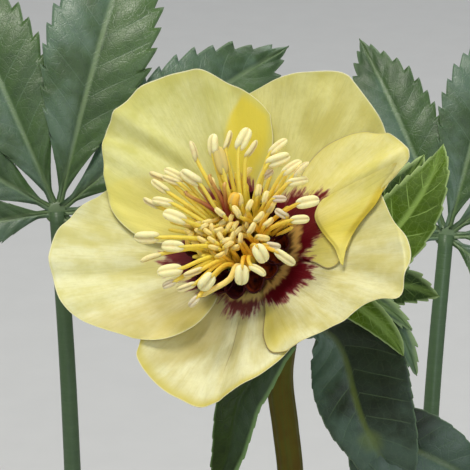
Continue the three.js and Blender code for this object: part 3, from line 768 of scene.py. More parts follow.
def addPleat(piece, layer):
    t, s = crowded(cup["grid"], 0.4)[:, None], crowded(70, 0.6)[None]
    edge, margin = (Path(polar(pleat[key])).at(t[:, 0])[:, None] for key in ("edge", "margin"))
    plan = edge * (1 - s[..., None]) + margin * s[..., None]
    x, y = plan[..., 0], plan[..., 1]
    toEdge, toMargin, _ = gridSpans(plan)
    rising = smoothstep(0.0, 0.42, t)
    lift = pleat["lift"] * rising * (1 - s) ** 1.2 + 0.5 * smoothstep(0.0, 0.12, t) - 0.3
    sunken = 0.5 * smoothstep(1.7, 0.0, toMargin) * smoothstep(0.1, 0.3, t)
    lift += 0.5 * smoothstep(0.7, 1.0, t) * s - sunken
    lift -= 0.35 * smoothstep(0.8, 0.0, toEdge) * rising
    thickness = cup["marginThickness"] + pleat["thickening"] * smoothstep(0, 2, np.minimum(toEdge, toMargin))
    # painted shade: a deeper yellow on the margin that rolls under and on the tip that curls back
    rolledShade = pleat["rolledShade"] * smoothstep(2.8, 0.8, toMargin) * smoothstep(0.16, 0.34, t)
    rolledShade = rolledShade * smoothstep(0.9, 0.6, t)
    curledTipShade = pleat["curledTipShade"] * smoothstep(1.4, 0.7, toMargin) * smoothstep(0.16, 0.04, t)
    surface = np.stack([np.arctan2(y, x) * mapScale, np.hypot(x, y)], -1)
    # the fold lies over the sepal, so it gets the painted light of two layers
    addSepalSheet(piece, x, y, sepalHeight(x, y, layer) + lift, thickness, surface,
                  {"edge": 5, "doubled": 0.1 + 0.6 * smoothstep(0.1, 0.6, t), "resting": 0, "radius": 20,
                   "flush": 0, "blotch": -9, "pleat": np.maximum(rolledShade, curledTipShade), "tinge": 0})


sepalLook = {
    # streaks: how many across and along, and where their pattern starts
    "broad": (0.34, 0.09, 3.0),
    "fine": (2.1, 0.3, 7.0),
    "veins": (1.25, 0.035, 11.0),
    "lobes": (0.24, 0.2, 1.0),
    "spikes": (0.85, 0.22, 5.0),
    # painted light: the deeper yellow where light shines through two layers of sepal
    "doubled": (228, 208, 72),
    "line": (128, 96, 40),
    "margin": (244, 238, 200),
    "maroon": (104, 6, 18),
    "plum": (156, 88, 96),
    "rose": (158, 62, 74),
    "throat": (252, 198, 108),
    "deepThroat": (70, 12, 16),
    # painted shade on the rolled margin and curled tip of the fold
    "pleatShade": (212, 182, 40),
    "speck": (120, 74, 40),
}


def sepalMaterial(name, spec):
    material, nodes = newMaterial(name + "Flesh")
    look = sepalLook
    span, times, plus, value = nodes.span, nodes.times, nodes.plus, nodes.value
    surface, place = nodes.plane(), nodes.place()
    radius, edge = value("radius"), value("edge")
    broad, fine, veins, lobes, spikes = (streaks(nodes, surface, *look[key])
                                         for key in ("broad", "fine", "veins", "lobes", "spikes"))
    clouds = nodes.noise(place, 110.0, 4.0, 0.6)
    tissue = nodes.noise(place, 900.0, 3.0, 0.7)
    threads = times(span(nodes.gap(veins, 0.5), 0.0, 0.022, 1.0, 0.0), span(radius, 10.0, 26.0, 0.3, 0.1))
    # the last layer here is painted light: the deeper yellow where light shines through two layers of sepal
    tint = nodes.layers(
        spec["pale"],
        (span(broad, 0.36, 0.64), spec["deep"]),
        (span(clouds, 0.42, 0.68, 0.0, 0.55), tuple(c + 12 for c in spec["pale"])),
        (span(fine, 0.45, 0.72, 0.0, 0.3), spec["deep"]),
        (span(tissue, 0.4, 0.7, 0.0, 0.25), spec["deep"]),
        (threads, tuple(int(c * 0.72) for c in spec["deep"])),
        (value("doubled"), look["doubled"]))
    # painted shading laid over the colour: shade on most sepals, light on the upper left one
    if "tinge" in spec:
        tint = nodes.layers(tint, (times(value("tinge"), spec["tinge"][3]), spec["tinge"][2]))
    # a band of colour along the margin, which on the upper left sepal is painted shade of a fold near the
    # rim; a painted highlight along the thin edge; a fine line where a margin rests on another sepal;
    # painted shade on the rolled margin and curled tip of the fold
    tint = nodes.layers(
        tint,
        (span(edge, 0.0, spec["bandWidth"], 0.8, 0.0), spec["band"]),
        (span(edge, 0.08, 0.3, 0.55, 0.0), look["margin"]),
        (times(span(edge, 0.1, 0.34, spec.get("line", 0.0), 0.0), value("resting")), look["line"]),
        (value("pleat"), look["pleatShade"]))
    if "thread" in spec:
        turning = nodes.add("SeparateXYZ", {0: surface}).outputs[0]
        across = plus(turning, span(clouds, 0.3, 0.7, -0.14, 0.14))
        away = nodes.gap(across, spec["thread"] * degree * mapScale)
        shown = times(span(radius, 14.0, 15.5), span(radius, 22.0, 29.0, 1.0, 0.0))
        tint = nodes.layers(tint, (times(span(away, 0.02, 0.12, 0.6, 0.0), shown), look["speck"]))
    # the dark blotch has a ragged edge, and so has the throat inside it
    reach = plus(value("blotch"), span(lobes, 0.36, 0.64, -1.1, 0.7), span(spikes, 0.34, 0.66, -0.9, 0.9),
                 span(fine, 0.3, 0.7, -0.6, 0.6), span(tissue, 0.3, 0.7, -0.3, 0.3))
    streaked = times(span(fine, 0.5, 0.7, 0.0, 0.55), span(reach, 3.2, 0.3, 0.2, 1.0))
    inner = plus(radius, span(lobes, 0.36, 0.64, -0.5, 0.5), span(spikes, 0.3, 0.7, -0.3, 0.3))
    inner = nodes.math("SUBTRACT", inner, value("flush"))
    tint = nodes.layers(
        tint,
        (times(specks(nodes, place, 200.0, 0.04, 0.07), 0.7), look["speck"]),
        (span(reach, -1.5, 0.3, 0.0, 0.75), look["plum"]),
        (span(reach, -0.6, 1.3, 0.0, spec.get("blotch", 1.0)), look["maroon"]),
        (times(streaked, span(reach, -0.4, 0.5)), look["rose"]),
        (span(inner, 8.9, 10.6, 0.92, 0.0), spec.get("throat", look["throat"])),
        (span(inner, 7.0, 8.6, 0.9, 0.0), look["deepThroat"]))
    grain = plus(times(fine, 0.8), times(tissue, 0.6))
    dress(nodes, tint, span(clouds, 0.3, 0.7, 0.4, 0.55), nodes.bump(grain, 0.35, 0.25 * mm), 0.35,
          (0.2, 2.0, 1.6, 0.7))
    return material


for seed, (name, spec) in enumerate(sepals.items()):
    makeSepal(name, spec, seed + 1)
print("stage: sepals ready")

# Nectaries: a ring of dark goblets with a fine pale lip

nectaries = {
    "count": 17,
    "collar": 6.55,
    "height": 5.0,
    "sides": 28,
    "rows": 44,
    "tall": 5.5,
    "wide": 2.3,
    "lipWidth": 1.6,  # in rows
    "bright": (318, 32),  # the bearing that catches the light, and how far round it does
    "lean": 24,
    "outside": [(0.05, -0.3), (0.75, 0.2), (1.1, 1.2), (1.6, 2.8), (1.95, 4.2), (2.08, 5.0), (2.06, 5.35)],
    "inside": [(1.94, 5.48), (1.82, 5.3), (1.66, 4.6), (1.34, 3.5), (0.85, 2.4), (0.05, 1.9)],
    "skin": (44, 6, 16),
    "mottled": (104, 20, 26),
    "lip": (44, 8, 10),
    "throat": (168, 74, 20),
}


# the ring the goblets stand on
def addCollar(piece):
    rows, sides, thickness = 90, 12, 0.9
    turn, section = around(rows)[:, None], around(sides)[None]
    reach = nectaries["collar"] - 0.2 + thickness * np.cos(section)
    height = nectaries["height"] + thickness * np.sin(section) + 0 * turn
    ring = np.stack([reach * np.cos(turn), reach * np.sin(turn), height], -1)
    index = np.arange(rows * sides).reshape(rows, sides)
    index = np.concatenate([index, index[:1]], 0)
    index = np.concatenate([index, index[:, :1]], 1)
    piece.add(onBloom(ring.reshape(-1, 3)), [gridFaces(index)])


def makeNectaries():
    piece = Piece()
    draw = np.random.default_rng(5)
    profile = Path(nectaries["outside"] + nectaries["inside"], 6).at(np.linspace(0, 1, nectaries["rows"]))
    fromLip = np.repeat(np.arange(len(profile)), nectaries["sides"]) - np.argmax(profile[:, 1])
    lip = np.append(np.exp(-(fromLip / nectaries["lipWidth"]) ** 2), [0, 0])
    inside = np.append(smoothstep(0, 3, fromLip), [0, 1])
    middle, spread = nectaries["bright"]
    for i in range(nectaries["count"]):
        turn = (i + 0.5 + draw.uniform(-0.12, 0.12)) / nectaries["count"] * fullTurn
        size = draw.uniform(1.0, 1.14) * (1 - 0.06 * math.sin(turn))
        rings = turnedRings(profile, nectaries["sides"])
        tall = rings[..., 2] / nectaries["tall"]
        wobble = 1 + 0.06 * np.sin(3 * np.arctan2(rings[..., 1], rings[..., 0]) + draw.uniform(0, 6)) * tall
        rings[..., 0] *= size * wobble
        rings[..., 1] *= size * wobble * 0.9
        rings[..., 2] *= size * (1 + 0.14 * rings[..., 0] / nectaries["wide"] * tall)
        lean = nectaries["lean"] - 1.5 * math.sin(turn) - 11 * math.cos(turn)
        lean = (lean + draw.uniform(-4, 5)) * degree
        x = rings[..., 0] * math.cos(lean) + rings[..., 2] * math.sin(lean) + nectaries["collar"]
        z = rings[..., 2] * math.cos(lean) - rings[..., 0] * math.sin(lean) + nectaries["height"]
        y = rings[..., 1]
        spun = [x * math.cos(turn) - y * math.sin(turn), x * math.sin(turn) + y * math.cos(turn), z]
        tone = math.exp(-((turn / degree - middle) / spread) ** 2)
        piece.addRings(np.stack(spun, -1), onBloom, lip=lip, inside=inside, tone=tone)
    addCollar(piece)
    material, nodes = newMaterial("nectarySkin")
    mottle = nodes.noise(nodes.place(), 700.0, 3.0)
    skin = nectaries["skin"]
    bright = nodes.layers(nectaries["throat"], (nodes.span(mottle, 0.35, 0.7), skin))
    throat = nodes.layers(skin, (nodes.span(nodes.value("tone"), 0.0, 0.9, 0.12, 1.0), bright))
    tint = nodes.layers(
        skin,
        (nodes.span(mottle, 0.4, 0.7, 0.0, 0.35), nectaries["mottled"]),
        (nodes.value("inside"), throat),
        (nodes.times(nodes.value("lip"), 0.6), nectaries["lip"]))
    dress(nodes, tint, nodes.span(mottle, 0.3, 0.7, 0.45, 0.62), nodes.bump(mottle, 0.2, 0.2 * mm), 0.14,
          (0.1, 1.0, 0.3, 0.2))
    piece.build("nectaries", material)


# Stamens. Each spot is millimetres right of and above the claws, and the way the anther points, as the
# camera sees it.

stamens = {
    "plump": [(-8.7, 23.3, 92), (-13.1, 16.9, 148), (-16.3, 9.2, 158), (-21.9, 5, 181), (-16.8, 3.3, 176),
              (-17.3, -1.5, 188), (-2.6, 24.7, 63), (4.3, 20.5, 20), (10.1, 12.2, 12)],
    "round": [(-10, -3.8, 230), (-3, -2.4, 268), (0.8, 1.9, 300)],
    "medium": [(-16.3, 17.6, 152), (-19.2, 15.1, 145), (-18.7, 12.2, 168), (4.2, 23.2, 40), (6.9, 19.1, 35),
               (8.2, 16.3, 12), (5.6, 1.1, 325), (8.6, 8.7, 5, 0.82), (0.2, -1.3, 330, 0.84)],
    "narrow": [(-12.4, 22.2, 106), (-17, 16.4, 160), (-21, 11.8, 153), (-21.2, 1.1, 198), (-12.6, -1.9, 200),
               (-5.6, 24.4, 72), (-1, 22.6, 55), (8.7, 18.7, 45), (-14, -4.8, 200), (-19.5, 17.1, 160)],
    "spent": [(4.5, 12.8, 0), (5, 9.8, 150), (-17.5, -4.2, 205), (-12.6, -7.7, 225), (2.2, 17.7, 35),
              (3.3, 3.4, 350)],
    "small": [(3.7, 14.9, 70), (-1.9, 18, 50), (0.4, 14.4, 80), (0.5, 9, 48), (2.9, 11, 62),
              (-1.4, 11.5, 65), (-14.3, -2.9, 195), (1.2, 5, 350), (-3.9, 10.2, 120), (-7.3, 10, 140),
              (-1, 6.8, 60), (1.8, 13, 75), (-3.2, 12.6, 100), (2.4, 8, 40), (-8.7, 15.6, 105)],
    "tan": [(-7.1, 20.4, 104)],
    "amber": [(-4.6, 12.6, 70)],
    "bud": [(-2.2, 9.2, 65), (-1.9, 7.7, 80), (-4.3, 7.4, 60), (-5.6, 7.2, 60), (-3.7, 6.3, 50),
            (-3.2, 4.8, 85), (-4.2, 3.1, 20), (-7.7, 6.5, 20), (-8.9, 6.7, 100), (-9.6, 6, 145),
            (-11.3, 6.1, 150), (-8.9, 4.5, 147), (-7.2, 5.2, 120), (-6.1, 4.5, 22), (-10.9, 4.5, 148),
            (-8.5, 3, 165), (-5.7, 3.6, 33), (-12, 3.7, 155), (-7.3, 1.5, 25), (-6.2, 2.4, 70),
            (-13.3, 5.9, 145), (-13.6, 7.4, 175), (-9.9, 8.1, 15), (-11.8, 7.8, 20), (-12.8, 4.8, 150),
            (-10.6, 7.2, 30), (-4.8, 5.2, 70), (-10.2, 3.2, 160), (-5.2, 8.6, 70), (-6.8, 8, 40)],
    "filament": 0.54,
    "filamentSides": 9,
    "footRadius": 4.6,
    "bare": 40,
    "fill": 30,
    "strap": [(-5.6, -3.4, 17.5), (-9.0, -5.4, 18.5), (-11.4, -6.7, 18.5)],
    "youngMiddle": (-8.1, 5.0),
    "cream": (255, 244, 184),
    "butter": (244, 206, 84),
    "tanTint": (202, 180, 98),
    "spentTint": (214, 196, 172),
    "olive": (204, 192, 116),
    "brown": (140, 108, 66),
    "yellow": (248, 228, 88),
    "golden": (236, 172, 20),
    "pollen": (206, 160, 90),
    "sides": 18,
}
# size, height above the claws, depth of the groove, and the shares of three colours
kindValues = ("size", "height", "groove", "butter", "brown", "spent")
kinds = {
    "plump": ((4.4, 2.45, 1.5), 20, 0.42, 0.1, 0.1, 0),
    "round": ((3.5, 2.75, 1.6), 20, 0.5, 0.1, 0.1, 0),
    "medium": ((4.2, 1.8, 1.2), 19.5, 0.42, 0.2, 0.45, 0),
    "narrow": ((3.8, 1.4, 1.0), 19.5, 0.5, 0.3, 0.9, 0.15),
    "spent": ((2.7, 1.5, 0.95), 18.5, 0.5, 0.1, 0.7, 0.85),
    "small": ((2.6, 1.25, 1.1), 17, 0.2, 0.5, 0.1, 0),
    "tan": ((5.6, 2.6, 1.5), 18.5, 0.1, 0.4, 0.2, 0),
    "amber": ((2.6, 2.2, 1.4), 17.5, 0.1, 1.0, 0.1, 0),
    "bud": ((2.15, 0.98, 0.94), 13.6, 0.1, 0.6, 0.1, 0),
}
kinds = {kind: dict(zip(kindValues, values)) for kind, values in kinds.items()}
kinds["filler"] = {**kinds["bud"], "height": 12.2, "butter": 1.3}


# an anther: two plump lobes with a groove between them, along +Z, its face towards +Y
def antherRings(length, width, thickness, groove):
    t = crowded(15, 0.35, 0.004)[:, None]
    size = (1 - np.abs(2 * t - 1) ** 3.2) ** 0.5
    turn = around(stamens["sides"])
    lobe = thickness / 2
    apart = width / 2 - lobe
    waist = np.maximum(lobe ** 2 - (apart * np.sin(turn)) ** 2, 0.01) ** 0.5
    section = apart * np.abs(np.cos(turn)) + waist
    section = section * (1 - groove * np.exp(-(np.cos(turn) / 0.28) ** 2))
    x = size * (section * np.cos(turn))[None]
    y = size * (section * np.sin(turn))[None]
    z = (t - 0.5) * length + 0.12 * length * np.abs(np.cos(turn))[None] * (t - 0.5)
    y = y - 0.9 * (t - 0.5) ** 2 * thickness
    return np.stack([x, y, z], -1), np.exp(-(np.cos(turn) / 0.3) ** 2)


# a filament from the receptacle, past a bend, to the points given
def addFilament(piece, points, draw, share=1.0, pale=0.0):
    outward = unit([points[0][0], points[0][1], 0])
    foot = outward * (stamens["footRadius"] - 0.9 * draw.uniform())
    foot = foot + [0, 0, plant["receptacleTop"]]
    bend = foot + (points[0] - foot) * np.array([0.3, 0.3, 0.62]) + draw.normal(size=3) * 0.25
    route = Path([foot, bend, *points])
    steps = np.append(np.linspace(0, 0.95, 14), [0.98, 1])
    radii = stamens["filament"] * share * (1 - 0.3 * steps) * (1 + 0.35 * np.exp(-(steps / 0.1) ** 2))
    radii = radii * np.sqrt(np.clip((1.01 - steps) / 0.05, 0.1, 1))
    golden = smoothstep(-0.3, 0.9, outward[0] * 0.7 - outward[1] * 0.7) * draw.uniform(0.5, 1) * (1 - pale)
    sides = stamens["filamentSides"]
    piece.addRings(tubeRings(route, steps, radii, sides), onBloom, along=alongTube(steps, sides),
                   golden=golden, tone=draw.uniform(), anther=pale, butter=0.45)


def addStamen(piece, kind, spot, draw):
    right, above, way, *share = spot
    values = kinds[kind]
    height = values["height"] + draw.uniform(-0.6, 0.8)
    if kind in ("bud", "filler"):
        middle = stamens["youngMiddle"]
        height += 2.0 * (1 - ((right - middle[0]) ** 2 + (above - middle[1]) ** 2) / 42)
    tip = spotOnBloom(right, above, height)
    outward = unit([tip[0], tip[1], 0])
    length, width, thickness = np.array(values["size"]) * draw.uniform(0.94, 1.06)
    length *= share[0] if share else 1
    seen = math.cos(way * degree) * seenRight + math.sin(way * degree) * seenUp
    pointing = unit(bloomFrame @ (seen + draw.uniform(-0.3, 0.15) * seenForward))
    start = tip - pointing * length * 0.44
    addFilament(piece, [start, start + pointing * length * 0.25], draw)
    facing = bloomFrame @ seenForward + outward * 0.2 + draw.normal(size=3) * 0.3
    if kind == "narrow":
        facing = facing + np.cross(outward, [0, 0, 1]) * draw.choice([-1.2, 1.2])
    facing = unit(facing - (facing @ pointing) * pointing)
    rings, groove = antherRings(length, width, thickness, values["groove"])
    shape = rings @ np.array([np.cross(facing, pointing), facing, pointing]) + tip
    # the groove between the two lobes is marked for painted shade
    piece.addRings(shape, onBloom, anther=1.0, furrow=np.append(np.tile(groove, len(rings)), [0, 0]),
                   tan=float(kind == "tan"), golden=0.6 * (kind == "amber"), tone=draw.uniform(),
                   **{key: values[key] * draw.uniform(0.7, 1.2) for key in ("butter", "brown", "spent")})


def makeStamens():
    piece = Piece()
    draw = np.random.default_rng(11)
    outer = []
    for kind in kinds:
        for spot in stamens.get(kind, []):
            addStamen(piece, kind, spot, draw)
        if kind in ("plump", "medium", "narrow"):
            outer += stamens[kind]
    for i in range(stamens["fill"]):
        turn, spread = i * 2.4, 6.4 * math.sqrt((i + 0.5) / stamens["fill"])
        right, above = stamens["youngMiddle"]
        spot = (right + spread * math.cos(turn), above + 0.66 * spread * math.sin(turn),
                draw.uniform(0, 180))
        addStamen(piece, "filler", spot, draw)
    for i in range(stamens["bare"]):
        right, above, *_ = outer[i % len(outer)]
        spot = (right + draw.normal() * 1.6, above + draw.normal() * 1.6)
        reach = spotOnBloom(*spot, 18) * np.array([1, 1, 0]) * draw.uniform(0.5, 0.82)
        addFilament(piece, [reach + np.array([0, 0, draw.uniform(11, 14)])], draw)
    addFilament(piece, [spotOnBloom(*spot) for spot in stamens["strap"]], draw, 1.35, 0.7)
    material, nodes = newMaterial("stamenFlesh")
    look, value = stamens, nodes.value
    mottle = nodes.noise(nodes.place(), 900.0, 3.0)
    filament = nodes.layers(look["yellow"], (value("golden"), look["golden"]),
                            (nodes.span(value("along"), 0.35, 1.0, 0.0, 0.5), look["butter"]))
    # painted shade down the groove between the lobes, olive, browner by each anther's brown share
    furrow = nodes.layers(look["olive"], (value("brown"), look["brown"]))
    head = nodes.layers(
        look["cream"],
        (value("butter"), look["butter"]),
        (value("golden"), look["golden"]),
        (nodes.times(value("tan"), 0.85), look["tanTint"]),
        (value("spent"), look["spentTint"]),
        (nodes.times(value("furrow"), 0.7), furrow))
    tint = nodes.layers(filament, (value("anther"), head),
                        (nodes.span(mottle, 0.5, 0.75, 0.0, 0.25), look["pollen"]))
    grain = nodes.noise(nodes.place(), 2600.0, 2.0)
    dress(nodes, tint, nodes.span(value("anther"), 0, 1, 0.4, 0.7), nodes.bump(grain, 0.35, 0.1 * mm), 0.5,
          (0.35, 1.4, 1.1, 0.5))
    piece.build("stamens", material)


# Carpels: a sheaf with long styles that lean up and to the left

carpels = {
    "radius": 1.1,
    "thinning": 0.72,
    "sides": 14,
    "ridges": (3, 0.05),
    "shoulder": (-5.2, 8.0, 12.0),
    "tips": [(-9.4, 17.2, 20), (-14.2, 13.9, 20), (-6.4, 15.6, 19), (-11.4, 15.2, 18.5), (-4.4, 12.2, 16.5)],
    "base": (112, 20, 20),
    "middle": (160, 62, 38),
    "tip": (226, 178, 92),
    "mottled": (120, 30, 20),
}


def makeCarpels():
    piece = Piece()
    draw = np.random.default_rng(8)
    shoulder = spotOnBloom(*carpels["shoulder"])
    for i, tip in enumerate(carpels["tips"]):
        turn = i / len(carpels["tips"]) * fullTurn
        out = np.array([math.cos(turn), math.sin(turn), 0])
        foot = out * 0.9 + np.array([0, 0, plant["receptacleTop"]])
        end = spotOnBloom(*tip)
        route = Path([foot, foot * 0.4 + shoulder * 0.6 + out * 0.5, shoulder + out * 0.45,
                      shoulder * 0.45 + end * 0.55 + out * 0.3, end, end + np.array([0.2, 0.5, -0.3])])
        steps = np.linspace(0, 1, 40)
        radii = carpels["radius"] - carpels["thinning"] * smoothstep(0.1, 0.85, steps)
        radii[-1] = 0.2
        rings = tubeRings(route, steps, radii, carpels["sides"], *carpels["ridges"])
        piece.addRings(rings, onBloom, along=alongTube(steps, carpels["sides"]), tone=draw.uniform())
    material, nodes = newMaterial("carpelFlesh")
    along = nodes.value("along")
    mottle = nodes.noise(nodes.place(), 800.0, 3.0)
    tint = nodes.layers(
        carpels["base"],
        (nodes.span(along, 0.36, 0.72), carpels["middle"]),
        (nodes.span(along, 0.58, 0.95), carpels["tip"]),
        (nodes.times(nodes.value("tone"), 0.25), carpels["base"]),
        (nodes.span(mottle, 0.45, 0.7, 0.0, 0.3), carpels["mottled"]))
    dress(nodes, tint, 0.38, nodes.bump(mottle, 0.3, 0.2 * mm), 0.5, (0.12, 1.0, 0.4, 0.2))
    piece.build("carpels", material)


makeNectaries()
makeStamens()
makeCarpels()
print("stage: nectaries, stamens and carpels ready")


# The flower stem, with the node that carries the bracts and the receptacle at its head

stem = {
    "radius": 3.0,
    "route": [(6.6, 4.4, 180), (5.6, 3.4, 240), (4.4, 3.1, 252), (3.1, 2.6, 264)],
    "node": 3.7,
    "nodeReach": 3.2,
    "neck": (-17, -8, -1),  # places on the bloom's axis
    "flare": 0.9,  # near the compost
    "rows": 150,
    "sides": 40,
    "ridges": (9, 0.035),
    "receptacle": [(0.05, -5.9), (2.9, -5.6), (3.6, -4.4), (4.6, -2.6), (5.2, -1.0), (5.3, 1.5), (5.2, 4.6),
                   (4.7, 5.5), (3.4, 5.6), (0.05, 5.6)],
    "olive": (98, 86, 28),
    "green": (90, 92, 34),
    "red": (90, 62, 28),
}


def makeStem():
    piece = Piece()
    rows, sides = stem["rows"], stem["sides"]
    foot = np.array([*plant["stemFoot"], plant["soilLevel"]], float)
    head = [bloomCentre + reach * bloomFacing for reach in stem["neck"]]
    node = np.array(plant["bractNode"])
    route = Path([foot - [0, 0, plant["rootDepth"]], foot + [0, 0, 14], *stem["route"], node, *head])
    steps = np.linspace(0, 1, rows)
    places = route.at(steps)
    radii = stem["radius"] * (1 - 0.12 * np.sin(math.pi * steps))
    fromNode = np.linalg.norm(places - node, axis=1) / stem["nodeReach"]
    radii += (stem["node"] - stem["radius"]) * np.exp(-fromNode ** 2)
    radii += stem["flare"] * smoothstep(18, 0, np.abs(places[:, 2] - plant["soilLevel"]))
    along = alongTube(steps, sides)
    turn = np.append(np.tile(np.arange(sides) / sides, rows), [0, 0])
    piece.addRings(tubeRings(route, steps, radii, sides, *stem["ridges"]), along=along,
                   plane=np.stack([turn * 20, along * route.length], -1))
    receptacle = Path(stem["receptacle"], 8).at(np.linspace(0, 1, 40))
    piece.addRings(turnedRings(receptacle, sides), onBloom, along=1.0)
    material, nodes = newMaterial("stemSkin")
    lines = streaks(nodes, nodes.plane(), 1.2, 0.03, 2.0)
    mottle = nodes.noise(nodes.place(), 260.0, 3.0)
    reddish = nodes.times(nodes.span(mottle, 0.4, 0.7),
                          nodes.span(nodes.value("along"), 0.0, 0.9, 0.9, 0.35))
    tint = nodes.layers(stem["olive"], (nodes.span(lines, 0.35, 0.7), stem["green"]), (reddish, stem["red"]))
    dress(nodes, tint, nodes.span(mottle, 0.3, 0.7, 0.5, 0.62), nodes.bump(lines, 0.35, 0.4 * mm), 0.08,
          (0.08, 1.0, 1.0, 0.4))
    piece.build("flower_stem", material)


makeStem()
print("stage: stem ready")


# Leaf blades

blade = {
    "thickness": 0.5,
    "marginThickness": 0.22,
    # lines along the blade, on one side of its midrib
    "stations": (0.1, 0.22, 0.38, 0.54, 0.7, 0.84, 0.94, 1),
    "sharpness": 0.82,  # where in its length a tooth has its tip
    "quilting": 0.045,  # this and the next are shares of the half width
    "waviness": 0.035,
    "groove": 0.35,
    "midrib": 0.9,
    # what a lobe may say otherwise
    "fold": 0.17,
    "curl": 0.12,
    "foot": 1.6,
    "taper": (0.85, 0.9),
    "skew": 0.0,
    "veins": 9,
    "grey": 0.0,
    "perTooth": 8,
}


# one toothed blade along a spine; its fold, quilting between the veins and curl are in its shape
def addBlade(piece, spine, facing, draw, given):
    shape = {**blade, **given}
    halfWidth, bite, teeth = shape["halfWidth"], shape["bite"], shape["teeth"]
    path = Path(spine)
    t = np.linspace(0, 1, teeth * shape["perTooth"] + 1)
    s = np.array([*[-x for x in shape["stations"][::-1]], 0, *shape["stations"]])[None]
    centre, along = path.at(t), path.tangent(t)
    side = np.cross(facing, along)
    side /= np.linalg.norm(side, axis=1, keepdims=True)
    normal = np.cross(along, side)
    swell = np.sin(math.pi * np.clip(t, 0, 1) ** shape["taper"][0]) ** shape["taper"][1]
    smooth = np.maximum(halfWidth * swell * (1 - 0.85 * bite),
                        np.where(t > 0.9, 0.1, shape["foot"] * (1 - 0.9 * t)))
    phase, tip = t * teeth, shape["sharpness"]
    saw = np.where(phase % 1 < tip, (phase % 1) / tip, (1 - phase % 1) / 0.18)
    width, ahead = [], []
    for way in (-1, 1):
        sizes = draw.uniform(0.75, 1.15, teeth + 1)[np.minimum(phase.astype(int), teeth)]
        tooth = saw * sizes * smoothstep(0.04, 0.22, t) * smoothstep(1.0, 0.93, t)
        teethOut = bite * halfWidth * tooth * np.minimum(1, 1.6 * swell)
        width.append(smooth * (1 + shape["skew"] * way) + teethOut)
        ahead.append(min(0.42, 3.5 * bite) * (path.length / teeth) * tooth)
    width = np.where(s < 0, width[0][:, None], width[1][:, None])
    ahead = np.where(s < 0, ahead[0][:, None], ahead[1][:, None])
    inner = smooth[:, None] * (1 + shape["skew"] * np.sign(s))
    size = np.abs(s)
    margin = smoothstep(0.8, 1.0, size)
    across = np.sign(s) * (size * inner + margin * (width - inner))
    veinPhase = t[:, None] * shape["veins"] - 1.25 * size + 0.35 * np.sign(s)
    bulge = np.abs(np.sin(math.pi * veinPhase)) * 4 * size * (1 - size) * smoothstep(0, 0.15, swell)[:, None]
    waves = np.sin(t * 11 + draw.uniform(0, 6))[:, None] * np.sign(s)
    waves = waves + np.sin(t * 17 + draw.uniform(0, 6))[:, None]
    height = (shape["fold"] * size ** 1.15 - shape["curl"] * size ** 2.4) * inner
    height = height + blade["quilting"] * halfWidth * bulge
    height = height + blade["waviness"] * halfWidth * waves * size ** 2
    height = height - blade["groove"] * np.exp(-(size / 0.06) ** 2)
    top = (centre[:, None] + across[..., None] * side[:, None] + height[..., None] * normal[:, None]
           + (ahead * margin)[..., None] * along[:, None])
    thickness = blade["marginThickness"] + (blade["thickness"] - blade["marginThickness"]) * (1 - size ** 3)
    thickness = thickness + blade["midrib"] * np.exp(-(size / 0.07) ** 2) * (1 - 0.8 * t)[:, None]
    bottom = top - thickness[..., None] * normal[:, None]
    surface = np.stack([across, t[:, None] * path.length + 0 * across + draw.uniform(0, 90)], -1)
    values = {"middle": np.abs(across), "veinPhase": veinPhase, "edge": (1 - size) * np.maximum(inner, 0.5),
              "side": 0.5 + 0.5 * np.sign(s), "along": t[:, None]}
    piece.addSheet(top, bottom, surface, values, under=np.repeat([0, 1], across.size), tone=shape["tone"],
                   grey=shape["grey"])


